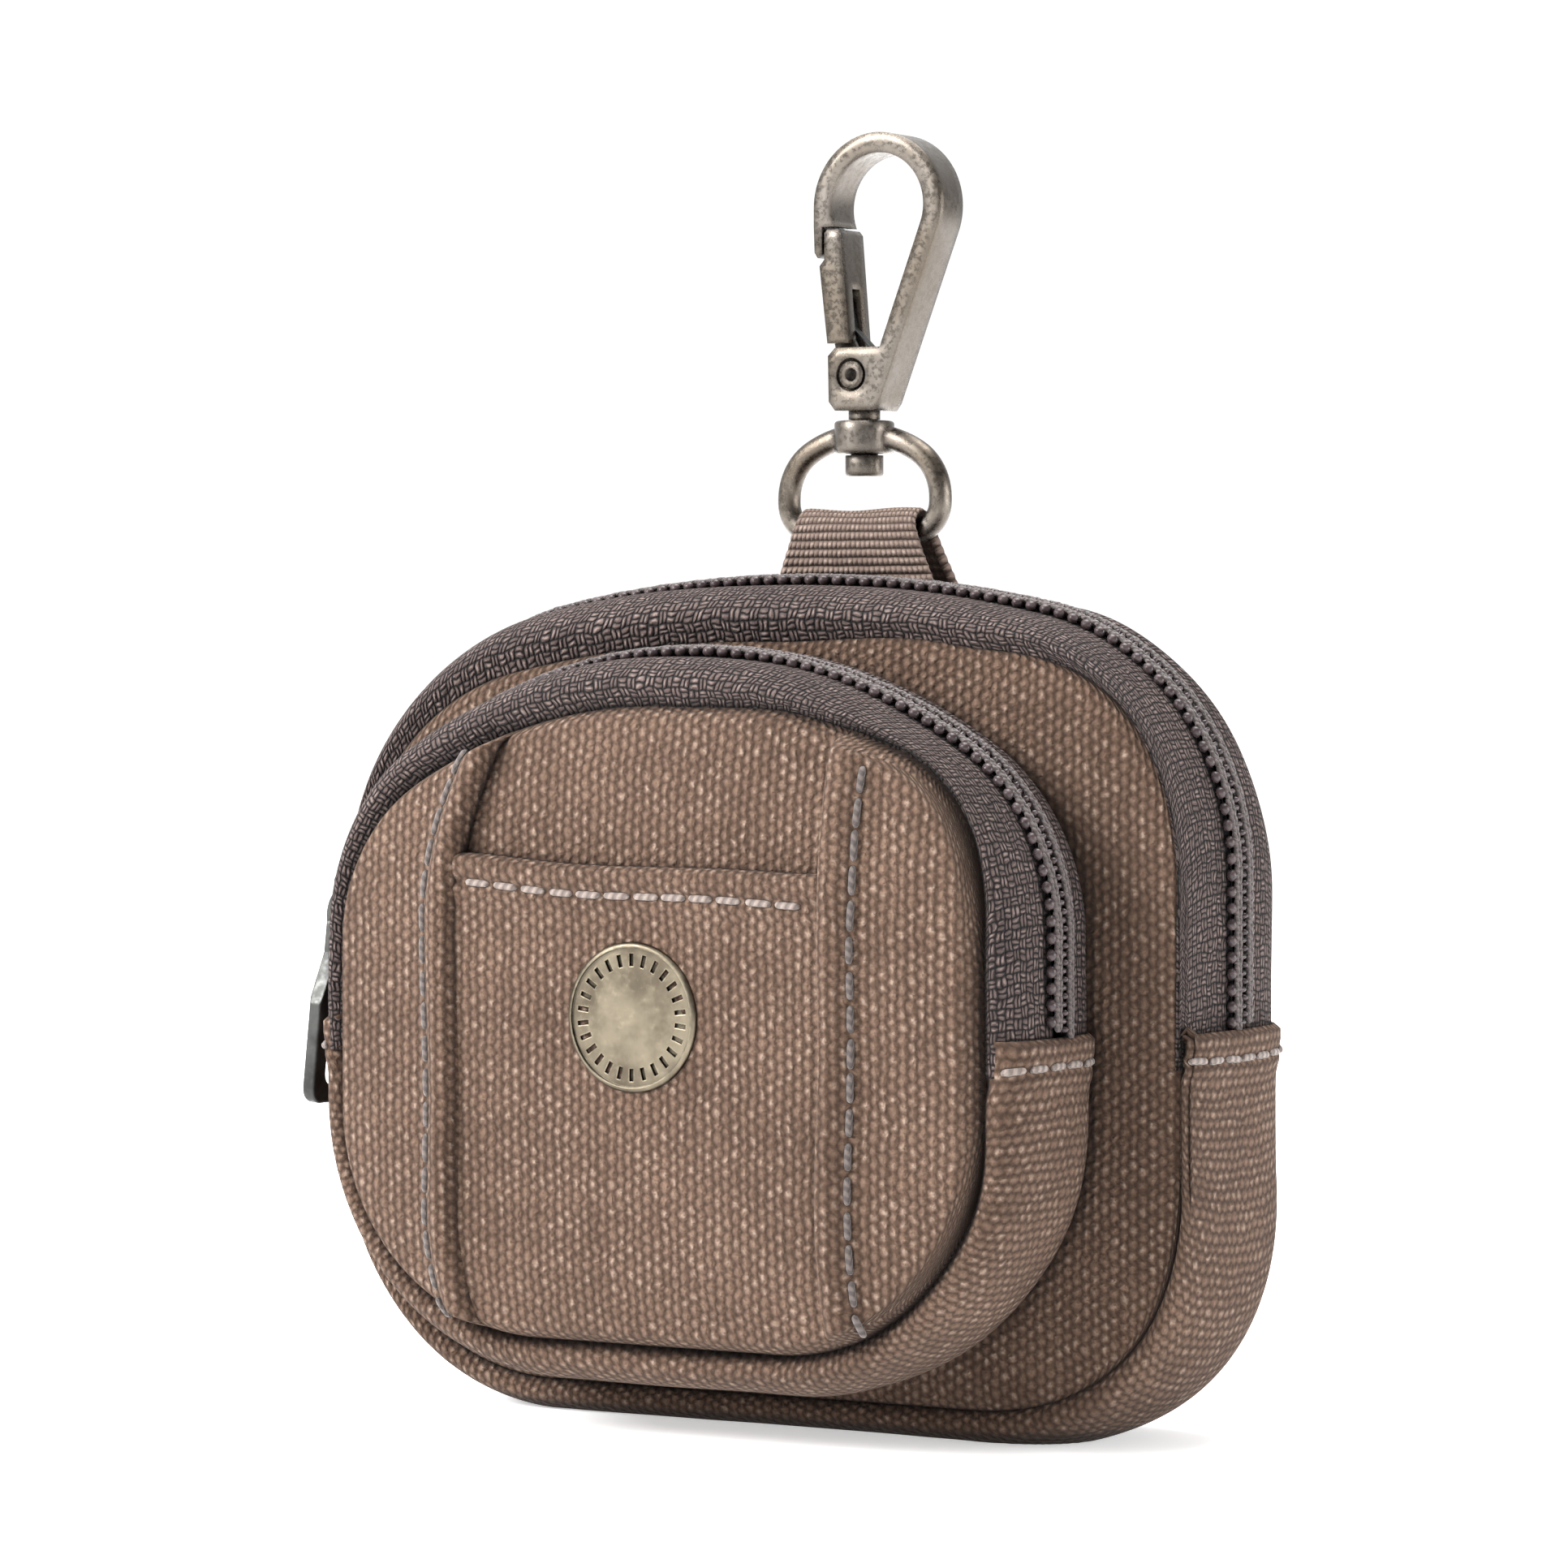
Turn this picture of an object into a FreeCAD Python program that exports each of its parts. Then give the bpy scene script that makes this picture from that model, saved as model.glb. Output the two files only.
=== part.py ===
"""Canvas coin pouch with two zipped compartments and a swivel snap hook, in millimetres.

X runs across the pouch, Y from front to back, Z up. The origin is the centre of the flat
under the main compartment, so y = 0 is the line of the main zip.
"""
import FreeCAD, Part

import math
import os

from FreeCAD import Vector

# ---- driving dimensions -------------------------------------------------------------

CANVAS = 1.2              # thickness of the gusset canvas
PANEL = 1.0               # thickness of one panel layer
TAPE = 0.6                # thickness of the zip tape
ZIP_END = 43.0            # height at which the zips go under their hems
TAPE_END = 38.5           # height at which the zip tapes stop, inside the hems
FLAT_BAND = 4.7           # half width of the level strip that a slider runs on
TAPE_EDGE = 1.05          # from the zip's centre line to the edge of a tape
COIL_EDGE = 2.5           # outer edge of a coil row
COIL_GAP = 0.1            # from the zip's centre line to a coil row
COIL_PART = 1.05          # the same where the slider has parted the rows
COIL_PROUD = 1.3          # how far a coil stands above its tape
COIL_SEAT = 0.05          # from a tape's surface to the coil sewn on it

# An outline is a closed curve: a shallow arch on top, tangent corner arcs, upright
# sides and a straight bottom.
MAIN = {
    "seam": {"half": 51.5, "top": 83.8, "bottom": 3.5, "corner": 27.0, "foot": 26.0,
             "arch": 140.0},
    "mid": {"half": 53.0, "top": 91.2, "bottom": -1.0, "corner": 29.0, "foot": 27.0,
            "arch": 144.0},
    "rear_seam": {"half": 48.5, "top": 80.5, "bottom": 5.0, "corner": 25.0, "foot": 25.0,
                  "arch": 136.0},
    "y": 0.0,             # centre line of the zip
    "front": -11.5,       # front seam
    "rear": 11.5,         # rear seam
}
POCKET = {
    "seam": {"half": 38.9, "top": 77.2, "bottom": 10.4, "corner": 20.0, "foot": 24.0,
             "arch": 58.0},
    "mid": {"half": 43.4, "top": 83.5, "bottom": 5.4, "corner": 24.0, "foot": 30.0,
            "arch": 60.0},
    "rear_seam": {"half": 39.4, "top": 77.2, "bottom": 10.4, "corner": 20.5, "foot": 24.5,
                  "arch": 58.0},
    "y": -21.5,
    "front": -30.5,
    "rear": -12.5,
}
SHOULDER = 0.85           # share of the bulge reached at the shoulder of a gusset
SHOULDER_STEP = 3.0       # distance of the shoulder from its seam
LINING = 0.5              # thickness of the lining
LINING_INSET = 3.0        # lining inside the seam outline
LINING_ZIP_GAP = 7.0      # half width left clear beside the zip

POCKET_DOME = ((0.0, 0.0), (3.0, 1.6), (9.0, 3.0), (18.0, 3.6))   # (inset, rise)
BACK_DOME = ((0.0, 0.0), (4.0, 1.4), (12.0, 2.4), (20.0, 2.8))
FOLD = 21.5               # x of the folded edge of each side panel
UNDERLAP = 24.5           # half width of the centre panel under those folds
SLIP_TOP = 60.7           # top edge of the slip pocket

BADGE = {"z": 45.0, "radius": 7.8, "height": 1.6, "rim": 0.55, "roll": 0.5, "sunk": 0.25,
         "marks": 26, "mark_half": 0.24, "mark_deep": 0.3, "mark_low": 5.3,
         "mark_high": 6.6, "post": 1.6, "washer": 5.0, "washer_thick": 0.8}

SLIDER = {"length": 10.0, "wide": 4.5, "narrow": 3.7, "plate": 0.9, "top": 1.7,
          "under": -2.4, "wall": 1.0, "post": 0.85}
BRIDGE = {"half": 1.1, "outer": 3.3, "inner": 2.1, "rise": 2.9, "clear": 1.8}
PULL = {"axis_out": 3.7, "axis_down": -0.9, "thick": 1.6, "length": 19.5, "neck": 2.3,
        "head": 0.6, "waist": 3.0, "flare": 8.5, "half": 4.4, "eye": 1.45,
        "eye_drop": 3.7, "bar": 0.5, "lean": 6.0, "hole_half": 2.2, "hole_low": 17.6, "hole_high": 13.4}

EYE = {"y": 12.5, "half": 9.6, "top": 106.6, "bottom": 95.7, "corner": 6.0,
       "foot": 3.5, "arch": 13.0, "wire": 1.25, "boss": 3.3, "boss_low": 104.5,
       "boss_high": 108.1, "bore": 1.55}
WEB = {"half_base": 10.0, "half_top": 7.0, "thick": 1.2, "inner": 1.6, "foot_z": 80.7,
       "foot_front": 11.6, "foot_rear": 14.0}

HOOK_Z = 109.2            # underside of the hook's block
HOOK_THICK = 5.0
CROWN = {"x": 3.0, "z": 22.3, "outer": 8.0, "inner": 5.8}
BLOCK = {"left": -3.2, "right": 3.3, "top": 6.9, "slot": 1.7, "slot_right": 2.3,
         "slot_low": 1.4, "corner": 0.9, "heel": 0.8, "crotch": 1.1}
HOOK_EDGE = 0.8           # rounding of the hook's long edges
NOSE = {"step": 20.2, "tip": 16.8, "lip": 1.0}
PIVOT = (-0.3, 3.9)
STUD = {"neck": 1.75, "shaft": 1.5, "head": 2.1, "head_low": 102.0, "head_high": 104.3}
RIVET = {"outer": 1.15, "inner": 0.75, "head": 1.5, "sink": 1.85, "sink_deep": 0.35,
         "bore": 1.2}
GATE = {"shoulder": 7.4, "top": 19.9, "tongue": 1.55, "tongue_radius": 1.9,
        "slot": 0.8, "slot_low": 5.4, "slot_high": 13.4}
GATE_PLAY = 0.05          # gate and rivet stay this far inside the hook's faces
GATE_EDGE = 0.45          # rounding of the gate's bar
SPRING = {"half": 0.6, "thick": 0.2,
          "bends": [(2.2, 3.4), (2.2, 6.0), (-1.1, 9.2), (-1.8, 12.4)]}

BIG = 400.0


# ---- helpers ------------------------------------------------------------------------

def box(x0, x1, y0, y1, z0, z1):
    return Part.makeBox(x1 - x0, y1 - y0, z1 - z0, Vector(x0, y0, z0))


def common_above(shape, z):
    return shape.common(box(-BIG, BIG, -BIG, BIG, z, BIG))


def common_below(shape, z):
    return shape.common(box(-BIG, BIG, -BIG, BIG, -BIG, z))


def arc(centre_x, centre_z, radius, start, end, y):
    """Arc in a plane of constant y; angles are from +Z towards +X, in radians."""
    def at(angle):
        return Vector(centre_x + radius * math.sin(angle), y,
                      centre_z + radius * math.cos(angle))
    return Part.Arc(at(start), at((start + end) / 2), at(end)).toShape()


def corner_centre(o):
    """Centre (x, z) of the right top corner arc of an outline."""
    x = o["half"] - o["corner"]
    z = o["top"] - o["arch"] + math.sqrt((o["arch"] - o["corner"]) ** 2 - x * x)
    return x, z


def outline(o, y):
    """The closed wire of an outline at depth y, clockwise seen from the front."""
    cx, cz = corner_centre(o)
    lean = math.atan2(cx, cz - (o["top"] - o["arch"]))
    fx, fz = o["half"] - o["foot"], o["bottom"] + o["foot"]
    quarter = math.pi / 2
    edges = [
        arc(0, o["top"] - o["arch"], o["arch"], -lean, lean, y),
        arc(cx, cz, o["corner"], lean, quarter, y),
        Part.LineSegment(Vector(o["half"], y, cz), Vector(o["half"], y, fz)).toShape(),
        arc(fx, fz, o["foot"], quarter, 2 * quarter, y),
        Part.LineSegment(Vector(fx, y, o["bottom"]), Vector(-fx, y, o["bottom"])).toShape(),
        arc(-fx, fz, o["foot"], 2 * quarter, 3 * quarter, y),
        Part.LineSegment(Vector(-o["half"], y, fz), Vector(-o["half"], y, cz)).toShape(),
        arc(-cx, cz, o["corner"], 3 * quarter, 4 * quarter - lean, y),
    ]
    return Part.Wire(edges)


def grown(o, by):
    """The outline moved outwards by that much; negative moves it inwards."""
    return {"half": o["half"] + by, "top": o["top"] + by, "bottom": o["bottom"] - by,
            "corner": o["corner"] + by, "foot": o["foot"] + by, "arch": o["arch"] + by}


def between(a, b, share):
    return {k: a[k] + (b[k] - a[k]) * share for k in a}


def loft(sections):
    """A solid through (outline, y) sections with straight rulings."""
    return Part.makeLoft([outline(o, y) for o, y in sections], True, True)


def extruded(points, y0, y1):
    """A prism from y0 to y1 over a polygon of (x, z) points."""
    ring = [Vector(x, y0, z) for x, z in points]
    return Part.Face(Part.makePolygon(ring + ring[:1])).extrude(Vector(0, y1 - y0, 0))


def disc(x, z, radius, y0, y1):
    return Part.makeCylinder(radius, y1 - y0, Vector(x, y0, z), Vector(0, 1, 0))


def moved(shape, x=0.0, y=0.0, z=0.0):
    copy = shape.copy()
    copy.translate(Vector(x, y, z))
    return copy


def rounded(shape, radius, wanted):
    """The shape with the edges that wanted() picks rounded, or as it was if that fails."""
    edges = [e for e in shape.Edges if wanted(e)]
    try:
        made = shape.makeFillet(radius, edges)
    except Exception:
        return shape
    return made if made.isValid() and made.Volume > 0 else shape


# ---- fabric shells ------------------------------------------------------------------

def levels(bag):
    """(outline, y) from the front seam to the rear seam of a compartment's gusset."""
    return [
        (bag["seam"], bag["front"]),
        (between(bag["seam"], bag["mid"], SHOULDER), bag["front"] + SHOULDER_STEP),
        (bag["mid"], bag["y"] - FLAT_BAND),
        (bag["mid"], bag["y"] + FLAT_BAND),
        (between(bag["rear_seam"], bag["mid"], SHOULDER), bag["rear"] - SHOULDER_STEP),
        (bag["rear_seam"], bag["rear"]),
    ]


def gusset_shell(bag, outer, inner):
    """The band round a compartment between two depths under its outer surface."""
    def solid(depth):
        return loft([(grown(o, -depth), y) for o, y in levels(bag)])
    return solid(outer).cut(solid(inner))


def bottom_gusset(bag):
    return common_below(gusset_shell(bag, 0.0, CANVAS), ZIP_END)


def zip_tapes(bag):
    band = common_above(gusset_shell(bag, CANVAS, CANVAS + TAPE), TAPE_END)
    front = band.common(box(-BIG, BIG, -BIG, bag["y"] - TAPE_EDGE, -BIG, BIG))
    rear = band.common(box(-BIG, BIG, bag["y"] + TAPE_EDGE, BIG, -BIG, BIG))
    return front, rear


def zip_coils(bag):
    """The two coil rows, each the closed envelope of its turns, parted at the slider."""
    y = bag["y"]
    slider_z = corner_centre(bag["mid"])[1]
    parted = box(-BIG, 0, y - COIL_PART, y + COIL_PART, -BIG, slider_z + 1.0)

    def row(y0, y1):
        outer = loft([(grown(bag["mid"], COIL_PROUD - CANVAS), y) for y in (y0, y1)])
        inner = loft([(grown(bag["mid"], COIL_SEAT - CANVAS), y) for y in (y0, y1)])
        return common_above(outer.cut(inner), ZIP_END + COIL_GAP).cut(parted)
    return row(y - COIL_EDGE, y - COIL_GAP), row(y + COIL_GAP, y + COIL_EDGE)


def dome(o, y, steps, outward):
    """A solid cushion on an outline at depth y; outward is -1 for a front, +1 for a back."""
    return loft([(grown(o, -inset), y + outward * rise) for inset, rise in steps])


def lining(bag, front, rear):
    """The inner bag: both faces and the foot, clear of the zip."""
    outer = grown(bag["rear_seam"], -LINING_INSET)
    inner = grown(outer, -LINING)
    solid = loft([(outer, front), (outer, rear)])
    hollow = loft([(inner, front + LINING), (inner, rear - LINING)])
    zip_way = box(-BIG, BIG, bag["y"] - LINING_ZIP_GAP, bag["y"] + LINING_ZIP_GAP,
                  TAPE_END - 1.0, BIG)
    return solid.cut(hollow).cut(zip_way)


def pocket_face():
    """The four canvas panels of the pocket's front: centre, slip pocket and two sides."""
    y = POCKET["front"]
    outer = dome(POCKET["seam"], y, POCKET_DOME, -1)
    middle = moved(outer, y=PANEL)
    inner = moved(outer, y=2 * PANEL)
    in_front = box(-BIG, BIG, -BIG, y, -BIG, BIG)
    top_layer = outer.cut(middle).common(in_front)
    low_layer = middle.cut(inner).common(in_front)
    rivet_hole = disc(0, BADGE["z"], BADGE["post"] + 0.1, -BIG, y)
    centre = low_layer.common(box(-UNDERLAP, UNDERLAP, -BIG, BIG, -BIG, BIG))
    slip = top_layer.common(box(-FOLD + 0.1, FOLD - 0.1, -BIG, BIG, -BIG, SLIP_TOP))
    both = outer.cut(inner).common(in_front)
    covered = low_layer.common(box(-UNDERLAP - 0.1, UNDERLAP + 0.1, -BIG, BIG, -BIG, BIG))
    left = both.common(box(-BIG, -FOLD, -BIG, BIG, -BIG, BIG)).cut(covered)
    right = both.common(box(FOLD, BIG, -BIG, BIG, -BIG, BIG)).cut(covered)
    return centre.cut(rivet_hole), slip.cut(rivet_hole), left, right


def webbing_loop():
    """The strap folded over the bar of the eye, its two legs running down to the seam."""
    y, z, inner = EYE["y"], EYE["bottom"], WEB["inner"]
    outer = inner + WEB["thick"]
    foot, front, rear = WEB["foot_z"], WEB["foot_front"], WEB["foot_rear"]

    def profile(radius, low_front, low_rear):
        a, b = Vector(0, y - radius, z), Vector(0, y + radius, z)
        c, d = Vector(0, low_rear, foot), Vector(0, low_front, foot)
        arch = Part.Arc(a, Vector(0, y, z + radius), b).toShape()
        sides = [Part.LineSegment(p, q).toShape() for p, q in ((b, c), (c, d), (d, a))]
        return Part.Face(Part.Wire([arch] + sides))

    whole = profile(outer, front, rear)
    hollow = profile(inner, front + WEB["thick"] - 0.2, rear - WEB["thick"] + 0.2)
    width = 2 * WEB["half_base"]
    strap = whole.extrude(Vector(width, 0, 0)).cut(hollow.extrude(Vector(width, 0, 0)))
    strap.translate(Vector(-WEB["half_base"], 0, 0))
    top = z + outer + 0.1
    taper = extruded([(-WEB["half_base"], foot), (WEB["half_base"], foot),
                      (WEB["half_base"], foot + 4.0), (WEB["half_top"], z - 2.0),
                      (WEB["half_top"], top), (-WEB["half_top"], top),
                      (-WEB["half_top"], z - 2.0), (-WEB["half_base"], foot + 4.0)],
                     0.0, 30.0)
    return strap.common(taper)


# ---- badge --------------------------------------------------------------------------

def badge_front():
    """y of the canvas under the badge."""
    return POCKET["front"] - POCKET_DOME[-1][1]


def badge_cap():
    """A spun cap with a rolled rim, a sunk face and a ring of short marks cut in it."""
    r, h, rim = BADGE["radius"], BADGE["height"], BADGE["rim"]
    y, z = badge_front(), BADGE["z"]
    front = y - h
    cap = disc(0, z, r, front, y)
    cap = rounded(cap, BADGE["roll"], lambda e: abs(e.BoundBox.YMax - front) < 1e-6)
    cap = cap.cut(disc(0, z, r - rim, front - 1, front + BADGE["sunk"]))
    for i in range(BADGE["marks"]):
        mark = box(-BADGE["mark_half"], BADGE["mark_half"], front - 1,
                   front + BADGE["sunk"] + BADGE["mark_deep"],
                   BADGE["mark_low"], BADGE["mark_high"])
        mark.rotate(Vector(0, 0, 0), Vector(0, 1, 0), 360.0 * i / BADGE["marks"])
        cap = cap.cut(moved(mark, z=z))
    return cap


def badge_post():
    y = badge_front()
    return disc(0, BADGE["z"], BADGE["post"], y, y + 2 * PANEL + BADGE["washer_thick"] + 0.4)


def badge_washer():
    y = badge_front() + 2 * PANEL
    ring = disc(0, BADGE["z"], BADGE["washer"], y, y + BADGE["washer_thick"])
    return ring.cut(disc(0, BADGE["z"], BADGE["post"], y - 1, y + 3))


# ---- zip sliders, made flat at the origin: +X out of the zip, +Z up ---------------------

def slider_plate(out0, out1):
    """A plate over the slider's outline, from out0 to out1 above the tape."""
    half, wide, narrow = SLIDER["length"] / 2, SLIDER["wide"], SLIDER["narrow"]
    points = [Vector(out0, -wide, -half), Vector(out0, wide, -half),
              Vector(out0, wide, -half + 3.0), Vector(out0, narrow, half),
              Vector(out0, -narrow, half), Vector(out0, -wide, -half + 3.0)]
    plate = Part.Face(Part.makePolygon(points + points[:1])).extrude(
        Vector(out1 - out0, 0, 0))
    return rounded(plate, 1.2, lambda e: abs(e.Length - (out1 - out0)) < 1e-6
                   and abs(e.BoundBox.XLength - (out1 - out0)) < 1e-6)


def slider_body():
    top, plate = SLIDER["top"], SLIDER["plate"]
    upper = slider_plate(0.3, top + plate)
    upper = rounded(upper, 0.4, lambda e: e.BoundBox.XMin > top + plate - 1e-6)
    wall = SLIDER["wall"]
    for side in (-1, 1):
        y0, y1 = sorted((0.0, side * (SLIDER["narrow"] - wall)))
        upper = upper.cut(box(0.0, top, y0, y1, -BIG, BIG))
    lower = slider_plate(SLIDER["under"], SLIDER["under"] + plate - 0.1)
    half, post = SLIDER["length"] / 2, SLIDER["post"]
    wedge = box(SLIDER["under"] + 0.2, top + 0.2, -post, post, -half + 0.6, -half + 3.2)
    return upper.fuse([wedge, lower]).removeSplitter()


def slider_bridge():
    """The arch on the slider's back that holds the pull."""
    base = SLIDER["top"] + SLIDER["plate"]
    rise, clear = BRIDGE["rise"], BRIDGE["clear"]

    def arch(half, height):
        a, b = Vector(base, 0, -half), Vector(base, 0, half)
        c, d = Vector(base + height * 0.45, 0, -half), Vector(base + height * 0.45, 0, half)
        bow = Part.Arc(c, Vector(base + height, 0, 0), d).toShape()
        sides = [Part.LineSegment(p, q).toShape() for p, q in ((a, c), (d, b), (b, a))]
        return Part.Face(Part.Wire([sides[0], bow, sides[1], sides[2]]))

    width = Vector(0, 2 * BRIDGE["half"], 0)
    made = arch(BRIDGE["outer"], rise).extrude(width).cut(
        arch(BRIDGE["inner"], clear).extrude(width))
    made = rounded(made, 0.35, lambda e: e.BoundBox.YLength < 1e-6
                   and e.BoundBox.XMax > base + clear + 0.3)
    return moved(made, y=-BRIDGE["half"])


def pull_tab():
    """The pull: a cross bar under the bridge, two short legs and a tapered tab."""
    x, z = PULL["axis_out"], PULL["axis_down"]
    half_t = PULL["thick"] / 2
    neck, half, low = PULL["neck"], PULL["half"], z - PULL["length"]
    head, waist, flare = z + PULL["head"], z - PULL["waist"], z - PULL["flare"]
    points = [(-neck, head), (neck, head), (neck, waist), (half, flare),
              (half, low), (-half, low), (-half, flare), (-neck, waist)]
    ring = [Vector(x - half_t, y, zz) for y, zz in points]
    tab = Part.Face(Part.makePolygon(ring + ring[:1])).extrude(Vector(2 * half_t, 0, 0))

    def upright(e):
        return abs(e.BoundBox.XLength - 2 * half_t) < 1e-6 and e.BoundBox.YLength < 1e-6

    tab = rounded(tab, 1.8, lambda e: upright(e) and e.BoundBox.ZMax < low + 0.1)
    tab = rounded(tab, 0.5, lambda e: upright(e) and e.BoundBox.ZMin > head - 0.1)
    eye = box(x - 2, x + 2, -PULL["eye"], PULL["eye"], z - PULL["eye_drop"], z + 2)
    hole = box(x - 2, x + 2, -PULL["hole_half"], PULL["hole_half"],
               z - PULL["hole_low"], z - PULL["hole_high"])
    hole = rounded(hole, 1.6, lambda e: abs(e.BoundBox.XLength - 4) < 1e-6)
    tab = tab.cut(eye).cut(hole)
    tab = rounded(tab, 0.35, lambda e: e.BoundBox.XLength < 1e-6
                  and e.BoundBox.ZMax < z - 4.6)
    bar = Part.makeCylinder(PULL["bar"], 2 * neck - 0.4, Vector(x, -neck + 0.2, z),
                            Vector(0, 1, 0))
    tab = tab.fuse(bar).removeSplitter()
    tab.rotate(Vector(x, 0, z), Vector(0, 1, 0), -PULL["lean"])
    return tab


def on_left_run(shape, bag):
    """Turns a slider piece to face left and sets it where the corner arc starts."""
    turned = shape.copy()
    turned.rotate(Vector(0, 0, 0), Vector(0, 0, 1), 180)
    tape_surface = bag["mid"]["half"] - CANVAS
    return moved(turned, -tape_surface, bag["y"], corner_centre(bag["mid"])[1])


# ---- snap hook, in its own (x, z) with the swivel axis at x = 0 ------------------------

def tangent_right(point, centre, radius):
    """Where the right-hand tangent from a point below touches a circle."""
    dx, dz = centre[0] - point[0], centre[1] - point[1]
    reach = math.hypot(dx, dz)
    lean = math.atan2(dx, dz) + math.asin(radius / reach)
    run = math.sqrt(reach * reach - radius * radius)
    return point[0] + run * math.sin(lean), point[1] + run * math.cos(lean)


def at_hook(shape):
    return moved(shape, y=EYE["y"], z=HOOK_Z)


def hook_body():
    """The bow, its spine and the forked block, with the nose stepped for the gate."""
    half, c = HOOK_THICK / 2, (CROWN["x"], CROWN["z"])
    ring = disc(c[0], c[1], CROWN["outer"], -half, half).cut(
        disc(c[0], c[1], CROWN["inner"], -half - 1, half + 1))
    foot_outer, foot_inner = (BLOCK["right"], BLOCK["heel"]), (3.2, BLOCK["top"] - 0.4)
    top_outer = tangent_right(foot_outer, c, CROWN["outer"])
    top_inner = tangent_right(foot_inner, c, CROWN["inner"])
    ring = ring.cut(extruded([(-BIG, NOSE["step"]), (c[0], NOSE["step"]), top_inner,
                              top_outer, (top_outer[0] + 5, -BIG), (-BIG, -BIG)],
                             -half - 1, half + 1))
    spine = extruded([foot_outer, top_outer, top_inner, foot_inner,
                      (1.0, BLOCK["top"] - 2.0)], -half, half)
    left = c[0] - CROWN["outer"]
    nose = extruded([(left, c[1]), (left + 2.2, c[1]), (left + 2.2, NOSE["step"]),
                     (left, NOSE["step"])], -half, half)
    lip = extruded([(left, NOSE["step"] + 0.1), (left + NOSE["lip"], NOSE["step"] + 0.1),
                    (left + NOSE["lip"], NOSE["tip"] + 0.5),
                    (left + 0.5, NOSE["tip"]), (left + 0.1, NOSE["tip"] + 0.6)],
                   -half, half)
    block = extruded([(BLOCK["left"] + BLOCK["corner"], 0), (BLOCK["right"] - 0.6, 0),
                      foot_outer, (BLOCK["right"], BLOCK["top"]),
                      (BLOCK["left"] + BLOCK["corner"], BLOCK["top"]),
                      (BLOCK["left"], BLOCK["top"] - BLOCK["corner"]),
                      (BLOCK["left"] + 0.1, 1.0)], -half, half)
    body = ring.fuse([spine, nose, lip, block]).removeSplitter()
    body = rounded(body, BLOCK["crotch"], lambda e: e.BoundBox.YLength > HOOK_THICK - 0.1 and
                   abs(e.BoundBox.ZMin - BLOCK["top"]) < 0.3 and
                   2.0 < e.BoundBox.XMin < 3.7)
    body = rounded(body, HOOK_EDGE, lambda e: e.BoundBox.YLength < 1e-6 and e.Length > 0.6
                   and abs(abs(e.BoundBox.YMin) - half) < 1e-6)
    slot = box(BLOCK["left"] - 1, BLOCK["slot_right"], -BLOCK["slot"], BLOCK["slot"],
               BLOCK["slot_low"], BLOCK["top"] + 0.4)
    body = body.cut(slot)
    px, pz = PIVOT
    body = body.cut(disc(px, pz, RIVET["bore"], -half - 1, half + 1))
    for y0, y1 in ((-half - 1, -half + RIVET["sink_deep"]),
                   (half - RIVET["sink_deep"], half + 1)):
        body = body.cut(disc(px, pz, RIVET["sink"], y0, y1))
    return at_hook(body)


def gate_lever():
    """The gate: a bar with a spring slot, and a tongue that turns on the rivet."""
    half = HOOK_THICK / 2 - GATE_PLAY
    low, top = GATE["shoulder"], GATE["top"]
    lip_inner = CROWN["x"] - CROWN["outer"] + NOSE["lip"] + 0.3
    bar = extruded([(-3.3, low), (-0.6, low), (-1.6, top - 0.5), (-2.0, top),
                    (lip_inner + 0.4, top), (lip_inner, top - 0.4),
                    (lip_inner, NOSE["tip"] - 0.2), (-4.3, NOSE["tip"] - 0.9)],
                   -half, half)
    bar = rounded(bar, GATE_EDGE, lambda e: e.BoundBox.YLength < 1e-6 and e.Length > 0.8)
    px, pz = PIVOT
    tongue_y = GATE["tongue"]
    tongue = disc(px, pz, GATE["tongue_radius"], -tongue_y, tongue_y).fuse(
        extruded([(px - 1.85, pz), (px + 1.6, pz), (-0.7, low + 0.6), (-3.0, low + 0.6)],
                 -tongue_y, tongue_y))
    gate = bar.fuse(tongue).removeSplitter()
    gate = gate.cut(disc(px, pz, RIVET["bore"], -3, 3))
    slot = extruded([(-1.9, GATE["slot_low"]), (4, GATE["slot_low"]),
                     (4, GATE["slot_high"]), (-2.5, GATE["slot_high"])],
                    -GATE["slot"], GATE["slot"])
    return at_hook(gate.cut(slot))


def gate_rivet():
    px, pz = PIVOT
    half = HOOK_THICK / 2
    tube = disc(px, pz, RIVET["outer"], -half, half)
    seat = RIVET["sink_deep"] - GATE_PLAY / 2.5
    for y0, y1 in ((-half + GATE_PLAY, -half + seat), (half - seat, half - GATE_PLAY)):
        tube = tube.fuse(disc(px, pz, RIVET["head"], y0, y1))
    return at_hook(tube.cut(disc(px, pz, RIVET["inner"], -4, 4)).removeSplitter())


def gate_spring():
    """A bent leaf from the block's wall up into the gate's slot."""
    inner = [(x - SPRING["thick"], z - SPRING["thick"] / 2) for x, z in reversed(SPRING["bends"])]
    return at_hook(extruded(SPRING["bends"] + inner, -SPRING["half"], SPRING["half"]))


def swivel_stud():
    """Neck, shaft and riveted head of the swivel, on the Z axis of the hook."""
    y = EYE["y"]

    def turned(radius, low, high):
        return Part.makeCylinder(radius, high - low, Vector(0, y, low))

    neck_low = EYE["boss_high"] + 0.15
    head = rounded(turned(STUD["head"], STUD["head_low"], STUD["head_high"]), 0.35,
                   lambda e: abs(e.BoundBox.ZMax - STUD["head_low"]) < 1e-6)
    shaft = turned(STUD["shaft"], STUD["head_high"] - 0.5, neck_low + 0.2)
    return turned(STUD["neck"], neck_low, HOOK_Z).fuse([shaft, head]).removeSplitter()


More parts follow.
